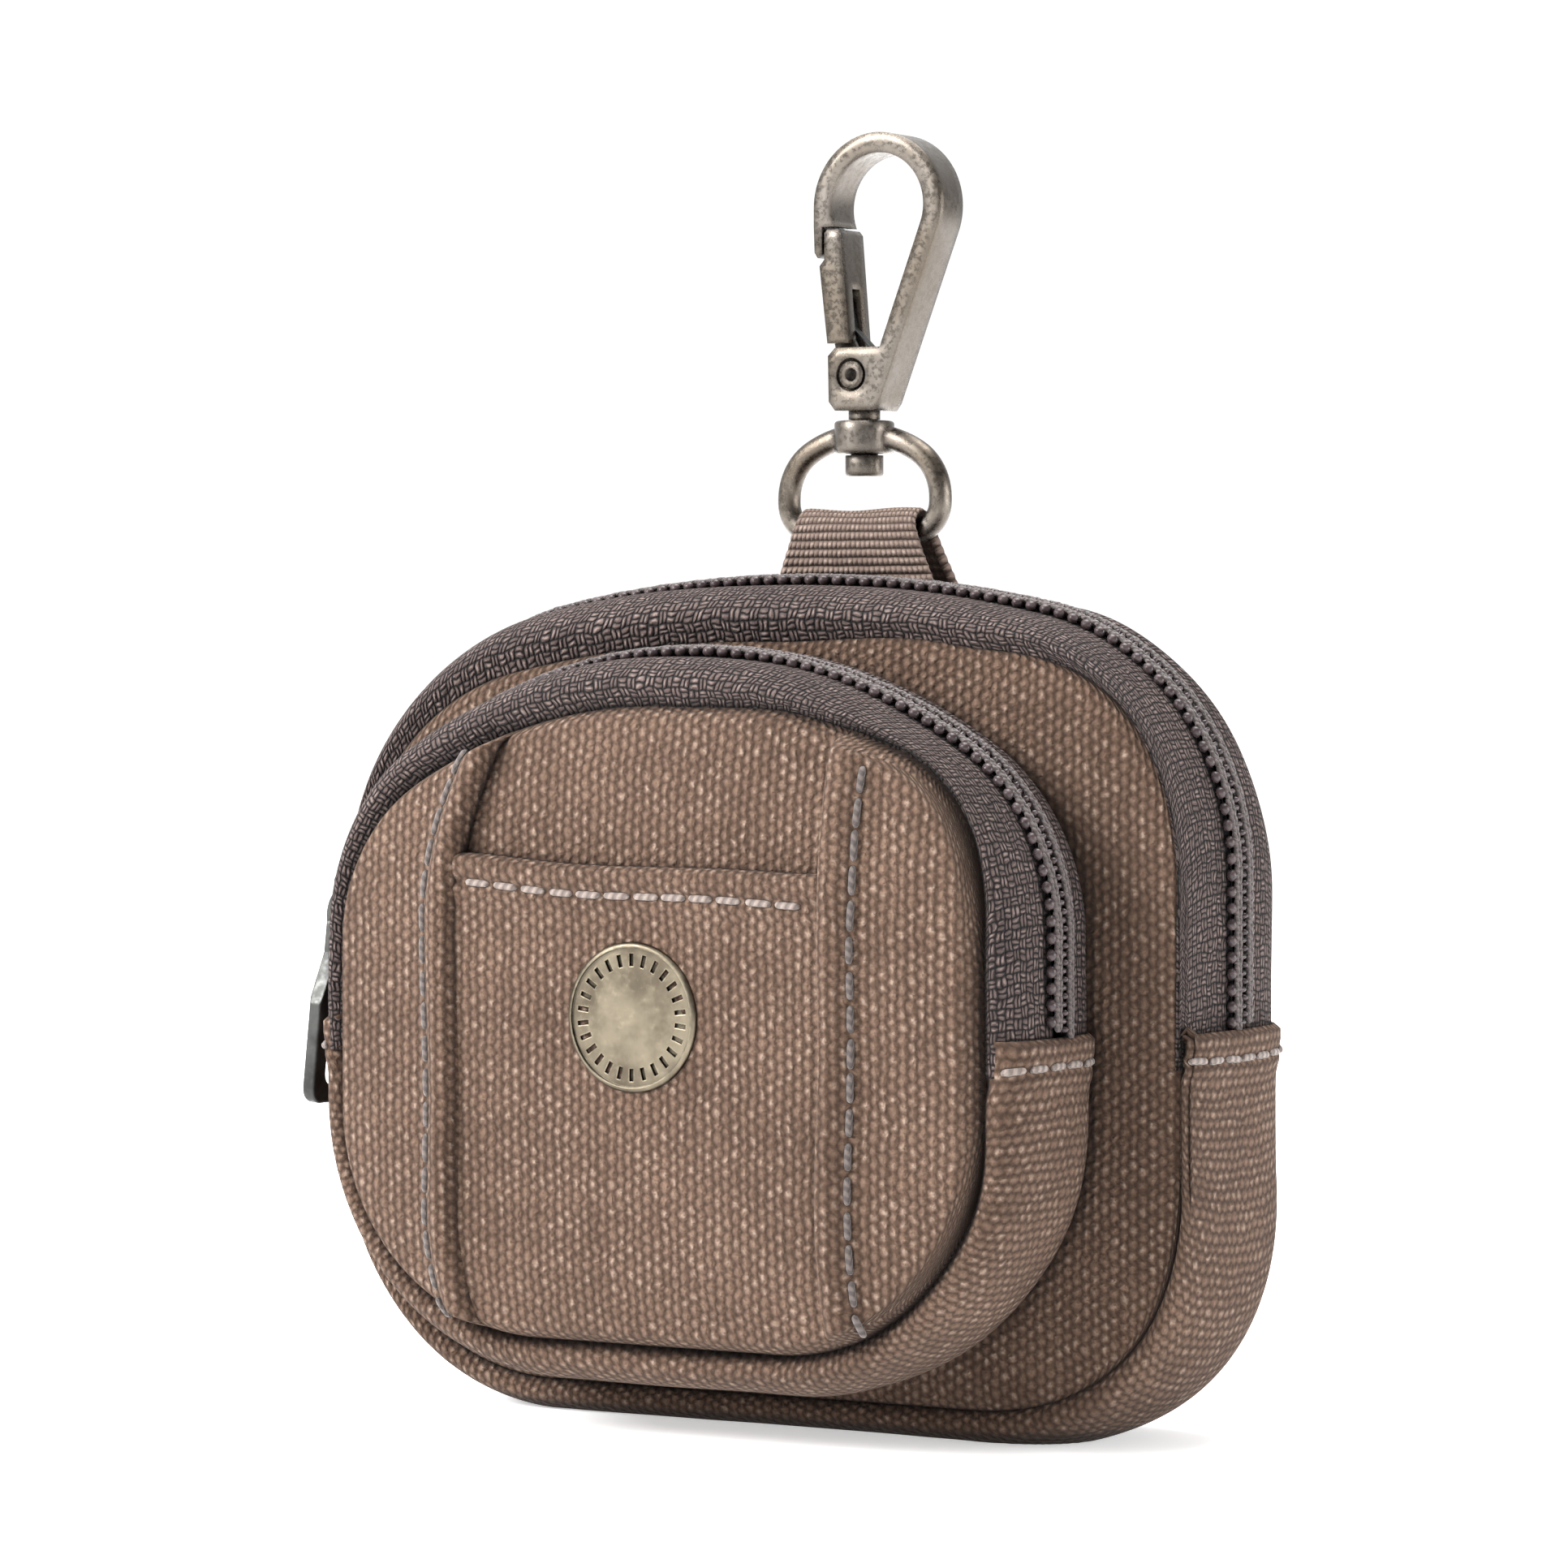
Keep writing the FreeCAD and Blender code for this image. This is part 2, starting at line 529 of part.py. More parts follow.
def swivel_eye():
    """The D-shaped eye with its bored boss."""
    frame = {k: EYE[k] for k in ("half", "top", "bottom", "corner", "foot", "arch")}
    path = outline(frame, EYE["y"])
    start = path.Edges[0].firstVertex().Point
    along = path.Edges[0].tangentAt(path.Edges[0].FirstParameter)
    section = Part.Wire([Part.makeCircle(EYE["wire"], start, along)])
    ring = path.makePipeShell([section], True, True)
    boss = Part.makeCylinder(EYE["boss"], EYE["boss_high"] - EYE["boss_low"],
                             Vector(0, EYE["y"], EYE["boss_low"]))
    boss = rounded(boss, 0.4, lambda e: e.BoundBox.ZLength < 1e-6)
    bore = Part.makeCylinder(EYE["bore"], 20, Vector(0, EYE["y"], EYE["boss_low"] - 8))
    return ring.fuse(boss).removeSplitter().cut(bore)


# ---- the whole pouch ----------------------------------------------------------------

def main_gusset():
    """The lower band of the main compartment, cut flat where it stands."""
    return common_above(bottom_gusset(MAIN), 0.0)


def main_front_panel():
    y = MAIN["front"]
    return loft([(MAIN["seam"], y - PANEL), (MAIN["seam"], y)])


def main_back_panel():
    y = MAIN["rear"]
    outer = dome(MAIN["rear_seam"], y, BACK_DOME, 1)
    behind = box(-BIG, BIG, y, BIG, -BIG, BIG)
    return outer.cut(moved(outer, y=-PANEL)).common(behind)


def build():
    nodes = {
        "main_gusset": main_gusset(),
        "main_front_panel": main_front_panel(),
        "main_back_panel": main_back_panel(),
        "main_lining": lining(MAIN, MAIN["front"] + 0.1, MAIN["rear"] - 0.1),
        "pocket_gusset": bottom_gusset(POCKET),
        "pocket_lining": lining(POCKET, POCKET["front"] + 0.6, POCKET["rear"] - 0.1),
        "webbing_loop": webbing_loop(),
        "badge_cap": badge_cap(),
        "badge_post": badge_post(),
        "badge_washer": badge_washer(),
        "swivel_eye": swivel_eye(),
        "swivel_stud": swivel_stud(),
        "hook_body": hook_body(),
        "gate_lever": gate_lever(),
        "gate_rivet": gate_rivet(),
        "gate_spring": gate_spring(),
    }
    faces = ("pocket_centre_panel", "pocket_slip_panel", "pocket_side_panel_left",
             "pocket_side_panel_right")
    nodes.update(zip(faces, pocket_face()))
    slider_pieces = {"slider_body": slider_body(), "slider_bridge": slider_bridge(),
                     "pull_tab": pull_tab()}
    for name, bag in (("main", MAIN), ("pocket", POCKET)):
        tapes, coils = zip_tapes(bag), zip_coils(bag)
        nodes[f"{name}_zip_tape_front"], nodes[f"{name}_zip_tape_rear"] = tapes
        nodes[f"{name}_zip_coil_front"], nodes[f"{name}_zip_coil_rear"] = coils
        for piece, shape in slider_pieces.items():
            nodes[f"{name}_{piece}"] = on_left_run(shape, bag)
    return nodes


def export(nodes):
    os.makedirs("parts", exist_ok=True)
    for name, shape in nodes.items():
        solids = shape.Solids
        good = bool(solids) and all(s.isValid() and s.Volume > 0 for s in solids)
        print(f"{name}: {len(solids)} solid, {shape.Volume:.1f} mm3{'' if good else '  BAD'}")
        kept = solids[0] if len(solids) == 1 else Part.makeCompound(solids)
        kept.exportStep(f"parts/{name}.step")


export(build())
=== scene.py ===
import math
import random

import bpy
import numpy as np
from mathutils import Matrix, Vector


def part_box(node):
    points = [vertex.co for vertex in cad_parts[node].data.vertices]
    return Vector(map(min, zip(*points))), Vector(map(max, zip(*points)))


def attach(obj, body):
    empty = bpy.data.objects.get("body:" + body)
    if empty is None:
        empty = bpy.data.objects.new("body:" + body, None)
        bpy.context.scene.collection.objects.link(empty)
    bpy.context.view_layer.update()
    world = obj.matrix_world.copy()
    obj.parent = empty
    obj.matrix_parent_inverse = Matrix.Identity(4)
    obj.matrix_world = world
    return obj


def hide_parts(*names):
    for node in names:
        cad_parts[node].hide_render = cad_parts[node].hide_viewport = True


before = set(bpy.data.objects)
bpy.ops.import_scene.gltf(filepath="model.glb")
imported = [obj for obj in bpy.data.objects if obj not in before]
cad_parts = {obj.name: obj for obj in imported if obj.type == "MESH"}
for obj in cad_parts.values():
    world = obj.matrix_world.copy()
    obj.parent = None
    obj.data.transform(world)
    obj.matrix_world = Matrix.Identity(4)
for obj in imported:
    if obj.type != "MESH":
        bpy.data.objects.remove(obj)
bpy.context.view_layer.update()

mm = 0.001
pi = math.pi
bpy.ops.object.select_all(action="DESELECT")
print("frame loaded")


# ways round the pouch: an outline is an arch, two top corners, upright sides, two feet and a flat

def reach(node):
    low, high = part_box(node)
    return [c / mm for c in low], [c / mm for c in high]


pouch = {
    "main": {
        "zip y": 0.0, "front": -11.5, "rear": 11.5, "fuller": (2.4, 1.6), "lifted": 1.9,
        "seam": {"corner": 27.0, "foot": 26.0, "arch": 140.0},
        "mid": {"corner": 29.0, "foot": 27.0, "arch": 144.0, "bottom": -1.0},
        "rear seam": {"half": 48.5, "top": 80.5, "bottom": 5.0,
                      "corner": 25.0, "foot": 25.0, "arch": 136.0},
    },
    "pocket": {
        "zip y": -21.5, "front": -30.5, "rear": -12.5, "fuller": (1.9, 0.0), "lifted": 2.5,
        "seam": {"corner": 20.0, "foot": 24.0, "arch": 58.0},
        "mid": {"corner": 24.0, "foot": 30.0, "arch": 60.0, "bottom": 5.4},
        "rear seam": {"half": 39.4, "top": 77.2, "bottom": 10.4,
                      "corner": 20.5, "foot": 24.5, "arch": 58.0},
    },
    "canvas": 1.2,        # the zip tape lies this far under the canvas
    "coil proud": 0.1,    # the coils stand this far over the canvas
    "zip end": 43.2,      # where the tape goes under its hem
}


def readOutlines():
    for name in ("main", "pocket"):
        bag = pouch[name]
        lining = reach(name + "_lining")
        bag["seam"].update(top=lining[1][2] + 3, bottom=lining[0][2] - 3)
        bag["mid"].update(half=reach(name + "_gusset")[1][0],
                          top=reach(name + "_zip_coil_front")[1][2] - pouch["coil proud"])
    panel = reach("main_front_panel")
    pouch["main"]["seam"].update(half=panel[1][0], top=panel[1][2], bottom=panel[0][2])
    pouch["pocket"]["seam"]["half"] = reach("pocket_side_panel_right")[1][0]


readOutlines()


def grown(o, by):
    return {"half": o["half"] + by, "top": o["top"] + by, "bottom": o["bottom"] - by,
            "corner": o["corner"] + by, "foot": o["foot"] + by, "arch": o["arch"] + by}


def cornerCentre(o):
    x = o["half"] - o["corner"]
    return x, o["top"] - o["arch"] + math.sqrt((o["arch"] - o["corner"]) ** 2 - x * x)


def line(x0, z0, x1, z1, nx, nz):
    def at(t):
        return x0 + (x1 - x0) * t, z0 + (z1 - z0) * t, nx + 0 * t, nz + 0 * t
    return at, math.hypot(x1 - x0, z1 - z0)


def arc(cx, cz, radius, start, end):
    def at(t):
        a = start + (end - start) * t
        return cx + radius * np.sin(a), cz + radius * np.cos(a), np.sin(a), np.cos(a)
    return at, radius * abs(end - start)


def overTheTop(o, low):
    cx, cz = cornerCentre(o)
    lean = math.atan2(cx, cz - (o["top"] - o["arch"]))
    half = o["half"]
    return [line(-half, low, -half, cz, -1, 0), arc(-cx, cz, o["corner"], -pi / 2, -lean),
            arc(0, o["top"] - o["arch"], o["arch"], -lean, lean),
            arc(cx, cz, o["corner"], lean, pi / 2), line(half, cz, half, low, 1, 0)]


def roundTheFoot(o, high):
    fx, fz, half = o["half"] - o["foot"], o["bottom"] + o["foot"], o["half"]
    return [line(half, high, half, fz, 1, 0), arc(fx, fz, o["foot"], pi / 2, pi),
            line(fx, o["bottom"], -fx, o["bottom"], 0, -1),
            arc(-fx, fz, o["foot"], pi, 3 * pi / 2), line(-half, fz, -half, high, -1, 0)]


def walk(stretches, counts):
    # rows of x, z and the outward normal along some stretches
    parts = []
    for (at, _), n in zip(stretches, counts):
        x, z, nx, nz = at(np.linspace(0, 1, n + 1))
        rows = np.column_stack([x, z, nx, nz])
        parts.append(rows if not parts else rows[1:])
    return np.vstack(parts)


def countsFor(stretches, step):
    return [max(2, int(round(length / step))) for _, length in stretches]


def lengthsOf(rows):
    steps = np.hypot(np.diff(rows[:, 0]), np.diff(rows[:, 1]))
    return np.concatenate([[0], np.cumsum(steps)])


def ripple(u, v, seed, size):
    # slow unevenness of hand-sewn cloth, from -1 to 1
    dice = random.Random(seed)
    total = 0 * u
    for _ in range(5):
        a, b, c = dice.uniform(-1, 1), dice.uniform(-1, 1), dice.uniform(0, 2 * pi)
        total = total + np.sin((a * u + b * v) * 2 * pi / size + c)
    return total / 3


# meshes

def skin(name, points, uv, flip=False):
    # a grid of points as a smooth mesh
    rows, cols = points.shape[:2]
    index = np.arange(rows * cols).reshape(rows, cols)
    a, b, c, d = index[:-1, :-1], index[1:, :-1], index[1:, 1:], index[:-1, 1:]
    quads = np.stack([a, d, c, b] if flip else [a, b, c, d], -1).reshape(-1, 4)
    mesh = bpy.data.meshes.new(name)
    mesh.from_pydata((points.reshape(-1, 3) * mm).tolist(), [], quads.tolist())
    layer = mesh.uv_layers.new(name="weave")
    corners = quads.reshape(-1)
    layer.data.foreach_set("uv", uv.reshape(-1, 2)[corners].astype(np.float32).reshape(-1))
    mesh.shade_smooth()
    piece = bpy.data.objects.new(name, mesh)
    bpy.context.collection.objects.link(piece)
    return piece


def useAlone(piece):
    bpy.ops.object.select_all(action="DESELECT")
    bpy.context.view_layer.objects.active = piece
    piece.select_set(True)


def thicken(piece, thickness):
    useAlone(piece)
    wall = piece.modifiers.new("wall", "SOLIDIFY")
    wall.thickness = thickness * mm
    wall.offset = -1
    bpy.ops.object.modifier_apply(modifier=wall.name)
    piece.select_set(False)


def scatter(name, model, places):
    # one mesh from many copies of a small model; a place is (point, along, up, scale)
    base = np.array([v.co for v in model.data.vertices])
    faces = [list(p.vertices) for p in model.data.polygons]
    verts, polys = [], []
    for k, (point, along, up, scale) in enumerate(places):
        along = Vector(along).normalized()
        up = (Vector(up) - along * Vector(up).dot(along)).normalized()
        side = up.cross(along)
        turn = np.array([along, side, up])
        verts.append((base * np.array(scale)) @ turn + np.array(point))
        polys += [[v + k * len(base) for v in f] for f in faces]
    mesh = bpy.data.meshes.new(name)
    allVerts = np.vstack(verts)
    mesh.from_pydata((allVerts * mm).tolist(), [], polys)
    layer = mesh.uv_layers.new(name="weave")
    local = np.tile(base, (len(places), 1))
    shift = np.repeat(np.arange(len(places)) * 3.7, len(base))
    pairs = np.column_stack([local[:, 0] + shift, np.arctan2(local[:, 2], local[:, 1])])
    corners = np.array([v for p in polys for v in p])
    layer.data.foreach_set("uv", pairs[corners].astype(np.float32).reshape(-1))
    mesh.shade_smooth()
    piece = bpy.data.objects.new(name, mesh)
    bpy.context.collection.objects.link(piece)
    return piece


def settle(piece, material, replaced=(), body="pouch"):
    piece.data.materials.clear()
    piece.data.materials.append(material)
    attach(piece, body)
    if replaced:
        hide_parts(*replaced)
    return piece


# node trees

def calc(tree, operation, *values):
    node = tree.nodes.new("ShaderNodeMath")
    node.operation = operation
    for socket, value in zip(node.inputs, values):
        if isinstance(value, (int, float)):
            socket.default_value = value
        else:
            tree.links.new(value, socket)
    return node.outputs[0]


def blur(tree, vector, scale, detail=2.0, rough=0.5):
    node = tree.nodes.new("ShaderNodeTexNoise")
    node.inputs["Scale"].default_value = scale
    node.inputs["Detail"].default_value = detail
    node.inputs["Roughness"].default_value = rough
    tree.links.new(vector, node.inputs["Vector"])
    return node.outputs["Fac"]


def spread(tree, value, low, high, to0=0.0, to1=1.0):
    node = tree.nodes.new("ShaderNodeMapRange")
    node.interpolation_type = "SMOOTHSTEP"
    for name, number in (("From Min", low), ("From Max", high), ("To Min", to0), ("To Max", to1)):
        node.inputs[name].default_value = number
    tree.links.new(value, node.inputs["Value"])
    return node.outputs["Result"]


def blendColor(tree, amount, one, two):
    node = tree.nodes.new("ShaderNodeMix")
    node.data_type = "RGBA"
    sockets = {"amount": node.inputs[0], "one": node.inputs[6], "two": node.inputs[7]}
    for key, value in (("amount", amount), ("one", one), ("two", two)):
        if isinstance(value, (int, float)):
            sockets[key].default_value = value
        elif isinstance(value, tuple):
            sockets[key].default_value = (*value, 1.0)
        else:
            tree.links.new(value, sockets[key])
    return node.outputs[2]


def newMaterial(name, rough, metallic=0.0, sheen=0.0):
    material = bpy.data.materials.new(name)
    material.use_nodes = True
    tree = material.node_tree
    shader = tree.nodes["Principled BSDF"]
    shader.inputs["Roughness"].default_value = rough
    shader.inputs["Metallic"].default_value = metallic
    if sheen:
        shader.inputs["Sheen Weight"].default_value = sheen
        shader.inputs["Sheen Roughness"].default_value = 0.5
    return material, tree, shader


def bump(tree, shader, height, distance, normal=None):
    node = tree.nodes.new("ShaderNodeBump")
    if normal is not None:
        tree.links.new(normal, node.inputs["Normal"])
    node.inputs["Distance"].default_value = distance * mm
    tree.links.new(height, node.inputs["Height"])
    tree.links.new(node.outputs[0], shader.inputs["Normal"])


def clothUv(tree):
    node = tree.nodes.new("ShaderNodeUVMap")
    node.uv_map = "weave"
    apart = tree.nodes.new("ShaderNodeSeparateXYZ")
    tree.links.new(node.outputs[0], apart.inputs[0])
    return node.outputs[0], apart.outputs[0], apart.outputs[1]


def join(tree, x, y, z=0.0):
    node = tree.nodes.new("ShaderNodeCombineXYZ")
    for socket, value in zip(node.inputs, (x, y, z)):
        if isinstance(value, (int, float)):
            socket.default_value = value
        else:
            tree.links.new(value, socket)
    return node.outputs[0]


def wandered(tree, u, v, wander):
    # threads never run quite straight
    du = calc(tree, "MULTIPLY", calc(tree, "SUBTRACT", blur(tree, join(tree, u, v), 0.35), 0.5), wander)
    other = join(tree, calc(tree, "ADD", u, 31.0), v)
    dv = calc(tree, "MULTIPLY", calc(tree, "SUBTRACT", blur(tree, other, 0.4), 0.5), wander)
    return calc(tree, "ADD", u, du), calc(tree, "ADD", v, dv)


def pillow(tree, x, power):
    # bumps of period one
    wave = calc(tree, "ABSOLUTE", calc(tree, "COSINE", calc(tree, "MULTIPLY", x, pi)))
    return calc(tree, "POWER", calc(tree, "MAXIMUM", wave, 0.001), power)


def cellDice(tree, a, b):
    cell = join(tree, calc(tree, "FLOOR", calc(tree, "ADD", a, 0.5)),
                calc(tree, "FLOOR", calc(tree, "ADD", b, 0.5)))
    dice = tree.nodes.new("ShaderNodeTexWhiteNoise")
    dice.noise_dimensions = "2D"
    tree.links.new(cell, dice.inputs["Vector"])
    return dice.outputs["Value"]


def beads(tree, u, v, look):
    # plain weave: round floats on a staggered grid, each with its own random number
    u, v = wandered(tree, u, v, look["wander"])
    lump = calc(tree, "SUBTRACT", blur(tree, join(tree, u, v), 1.5, 2.0), 0.5)
    u = calc(tree, "MULTIPLY_ADD", lump, look["lumpy"], u)
    v = calc(tree, "MULTIPLY_ADD", lump, -look["lumpy"], v)
    p, q = calc(tree, "DIVIDE", u, look["across"]), calc(tree, "DIVIDE", v, look["up"])
    a, b = calc(tree, "ADD", p, q), calc(tree, "SUBTRACT", p, q)
    waves = 0.5
    for way, share in ((a, 0.15), (b, 0.15), (calc(tree, "ADD", a, b), 0.20)):
        wave = calc(tree, "COSINE", calc(tree, "MULTIPLY", way, 2 * pi))
        waves = calc(tree, "MULTIPLY_ADD", wave, share, waves)
    return waves, cellDice(tree, a, b)


def basket(tree, u, v, look):
    # pairs of threads, across in one cell and up in the next
    u, v = wandered(tree, u, v, look["wander"])
    p, q = calc(tree, "DIVIDE", u, look["across"]), calc(tree, "DIVIDE", v, look["up"])
    parity = calc(tree, "PINGPONG", calc(tree, "ADD", calc(tree, "FLOOR", p), calc(tree, "FLOOR", q)), 1.0)
    one = calc(tree, "MULTIPLY", pillow(tree, calc(tree, "MULTIPLY_ADD", p, 2.0, 0.5), 0.7),
               pillow(tree, calc(tree, "ADD", q, 0.5), 0.5))
    two = calc(tree, "MULTIPLY", pillow(tree, calc(tree, "MULTIPLY_ADD", q, 2.0, 0.5), 0.7),
               pillow(tree, calc(tree, "ADD", p, 0.5), 0.5))
    height = calc(tree, "ADD", calc(tree, "MULTIPLY", one, parity),
                  calc(tree, "MULTIPLY", two, calc(tree, "SUBTRACT", 1.0, parity)))
    return height, cellDice(tree, calc(tree, "MULTIPLY", p, 2.0), calc(tree, "MULTIPLY", q, 2.0))


def ribs(tree, u, v, look):
    # rows of short slanting floats
    u, v = wandered(tree, u, v, look["wander"])
    q = calc(tree, "DIVIDE", v, look["up"])
    p = calc(tree, "ADD", calc(tree, "DIVIDE", u, look["across"]), calc(tree, "MULTIPLY", q, 0.12))
    height = calc(tree, "MULTIPLY", pillow(tree, q, 0.75), calc(
        tree, "MULTIPLY_ADD", pillow(tree, p, 0.8), 0.65, 0.35))
    return height, cellDice(tree, p, q)


canvasLook = {
    "light": (0.155, 0.097, 0.067), "dark": (0.080, 0.047, 0.031), "fleckAndHighlight": (0.26, 0.190, 0.147),
    "gapShade": (0.022, 0.012, 0.008), "across": 2.14, "up": 1.33, "wander": 0.9, "depth": 0.62,
    "pattern": beads, "shadow": (0.10, 0.60), "lumpy": 0.55, "fuzz": 0.85,
}
tapeLook = {
    "light": (0.092, 0.064, 0.057), "dark": (0.036, 0.024, 0.023), "fleckAndHighlight": (0.20, 0.150, 0.136),
    "gapShade": (0.004, 0.0025, 0.0025), "across": 1.15, "up": 1.15, "wander": 1.3, "depth": 0.5,
    "pattern": basket, "shadow": (0.22, 0.72), "fuzz": 0.5,
}
webLook = {
    "light": (0.190, 0.140, 0.115), "dark": (0.115, 0.081, 0.066), "fleckAndHighlight": (0.26, 0.20, 0.17),
    "gapShade": (0.045, 0.030, 0.024), "across": 0.71, "up": 0.94, "wander": 0.15, "depth": 0.30,
    "pattern": ribs, "shadow": (0.0, 0.45), "fuzz": 0.5,
}


def makeCloth(name, look, rough=0.92, sheen=0.03):
    material, tree, shader = newMaterial(name, rough, sheen=sheen)
    shader.inputs["Specular IOR Level"].default_value = 0.15
    vector, u, v = clothUv(tree)
    height, dice = look["pattern"](tree, u, v, look)
    cloud = blur(tree, vector, 0.05, 3.0, 0.55)
    streakAcross = blur(tree, join(tree, calc(tree, "MULTIPLY", u, 0.05), v), 0.8, 2.0)
    streakUp = blur(tree, join(tree, u, calc(tree, "MULTIPLY", v, 0.05)), 0.6, 2.0)
    tone = calc(tree, "ADD", calc(tree, "MULTIPLY", cloud, 0.5),
                calc(tree, "MULTIPLY", calc(tree, "ADD", streakAcross, streakUp), 0.25))
    base = blendColor(tree, spread(tree, tone, 0.36, 0.64), look["dark"], look["light"])
    base = blendColor(tree, spread(tree, dice, 0.0, 1.0, 0.0, 0.4), base, look["light"])
    # painted highlight: a lighter colour on the raised tops of the threads, a little on every top and more
    # on some random threads
    top = spread(tree, height, 0.5, 0.95)
    fleckAndHighlight = calc(tree, "MULTIPLY", spread(tree, dice, 0.35, 1.0, 0.15, 0.95), top)
    base = blendColor(tree, fleckAndHighlight, base, look["fleckAndHighlight"])
    fibre = blur(tree, vector, 3.2, 4.0, 0.7)
    base = blendColor(tree, spread(tree, fibre, 0.42, 0.7, 0.0, look["fuzz"]), base, look["dark"])
    # painted shade: where the weave is low, between the threads, the colour goes to the dark gap shade
    low, high = look["shadow"]
    color = blendColor(tree, spread(tree, height, low, high), look["gapShade"], base)
    # painted shade: the colour darkens to the gap shade in seams and folds, where the AO finds close cloth
    seam = tree.nodes.new("ShaderNodeAmbientOcclusion")
    seam.samples = 4
    seam.inputs["Distance"].default_value = 2.6 * mm
    color = blendColor(tree, spread(tree, seam.outputs["AO"], 0.25, 0.75), look["gapShade"], color)
    tree.links.new(color, shader.inputs["Base Color"])
    bumpy = calc(tree, "ADD", height, calc(tree, "MULTIPLY", fibre, 0.45))
    bumpy = calc(tree, "ADD", bumpy, calc(tree, "MULTIPLY", calc(tree, "MULTIPLY", dice, height), 0.25))
    bump(tree, shader, bumpy, look["depth"])
    return material


canvas = makeCloth("brown canvas", canvasLook)
tape = makeCloth("zip tape", tapeLook, 0.85)
webCloth = makeCloth("ribbed webbing", webLook, 0.85)

liningLook = {
    "light": (0.10, 0.075, 0.062), "dark": (0.055, 0.04, 0.032), "gapShade": (0.015, 0.01, 0.008),
    "across": 0.6, "up": 0.4, "wander": 0.1, "depth": 0.05, "lumpy": 0.1,
}


def makeThread(name, light, dark):
    # two-ply twist on the piece's own length
    material, tree, shader = newMaterial(name, 0.7, sheen=0.2)
    vector, u, v = clothUv(tree)
    twist = calc(tree, "SINE", calc(tree, "ADD", calc(tree, "MULTIPLY", u, 9.0), v))
    grain = blur(tree, vector, 3.0, 2.0)
    color = blendColor(tree, spread(tree, twist, -0.6, 0.7), dark, light)
    color = blendColor(tree, spread(tree, grain, 0.45, 0.75, 0.0, 0.4), color, dark)
    tree.links.new(color, shader.inputs["Base Color"])
    bump(tree, shader, calc(tree, "ADD", twist, grain), 0.06)
    return material


paleThread = makeThread("pale thread", (0.20, 0.158, 0.135), (0.10, 0.076, 0.065))
greyThread = makeThread("grey thread", (0.080, 0.060, 0.052), (0.030, 0.021, 0.018))
tapeThread = makeThread("zip sewing thread", (0.060, 0.041, 0.037), (0.024, 0.016, 0.015))


def makeCoil():
    material, tree, shader = newMaterial("wound nylon", 0.3)
    shader.inputs["Specular IOR Level"].default_value = 0.28
    vector = clothUv(tree)[0]
    cloud = blur(tree, vector, 0.8, 2.0)
    color = blendColor(tree, spread(tree, cloud, 0.35, 0.65), (0.030, 0.021, 0.022), (0.062, 0.044, 0.045))
    tree.links.new(color, shader.inputs["Base Color"])
    tree.links.new(spread(tree, cloud, 0.3, 0.7, 0.16, 0.3), shader.inputs["Roughness"])
    bump(tree, shader, blur(tree, vector, 6.0, 2.0), 0.02)
    return material


coilNylon = makeCoil()


def makeMetal(name, look):
    # patina in clouds, rubbed bright where an edge turns
    material, tree, shader = newMaterial(name, look["rough"], 1.0)
    place = tree.nodes.new("ShaderNodeTexCoord").outputs["Object"]
    cloud = blur(tree, place, look["cloud"], 4.0, 0.6)
    speck = blur(tree, place, look["speck"], 3.0, 0.65)
    edge = tree.nodes.new("ShaderNodeBevel")
    edge.samples = 4
    edge.inputs["Radius"].default_value = look["edge"] * mm
    geometry = tree.nodes.new("ShaderNodeNewGeometry")
    dot = tree.nodes.new("ShaderNodeVectorMath")
    dot.operation = "DOT_PRODUCT"
    tree.links.new(edge.outputs[0], dot.inputs[0])
    tree.links.new(geometry.outputs["Normal"], dot.inputs[1])
    worn = spread(tree, calc(tree, "SUBTRACT", 1.0, dot.outputs["Value"]), 0.01, 0.12)
    worn = calc(tree, "MULTIPLY", worn, spread(tree, speck, 0.35, 0.65, 0.1, 0.6))
    color = blendColor(tree, spread(tree, cloud, 0.34, 0.66), look["dark"], look["middle"])
    color = blendColor(tree, spread(tree, speck, 0.50, 0.80, 0.0, 0.16), color, look["bright"])
    color = blendColor(tree, worn, color, look["bright"])
    hollow = tree.nodes.new("ShaderNodeAmbientOcclusion")
    hollow.samples = 6
    hollow.inputs["Distance"].default_value = 0.9 * mm
    color = blendColor(tree, spread(tree, hollow.outputs["AO"], 0.35, 0.85), look["hollow"], color)
    tree.links.new(color, shader.inputs["Base Color"])
    rough = spread(tree, speck, 0.3, 0.7, look["rough"] - 0.08, look["rough"] + 0.14)
    tree.links.new(rough, shader.inputs["Roughness"])
    soft = tree.nodes.new("ShaderNodeBevel")
    soft.samples = 6
    soft.inputs["Radius"].default_value = look["round"] * mm
    bump(tree, shader, calc(tree, "ADD", speck, cloud), look["grain"], soft.outputs[0])
    return material


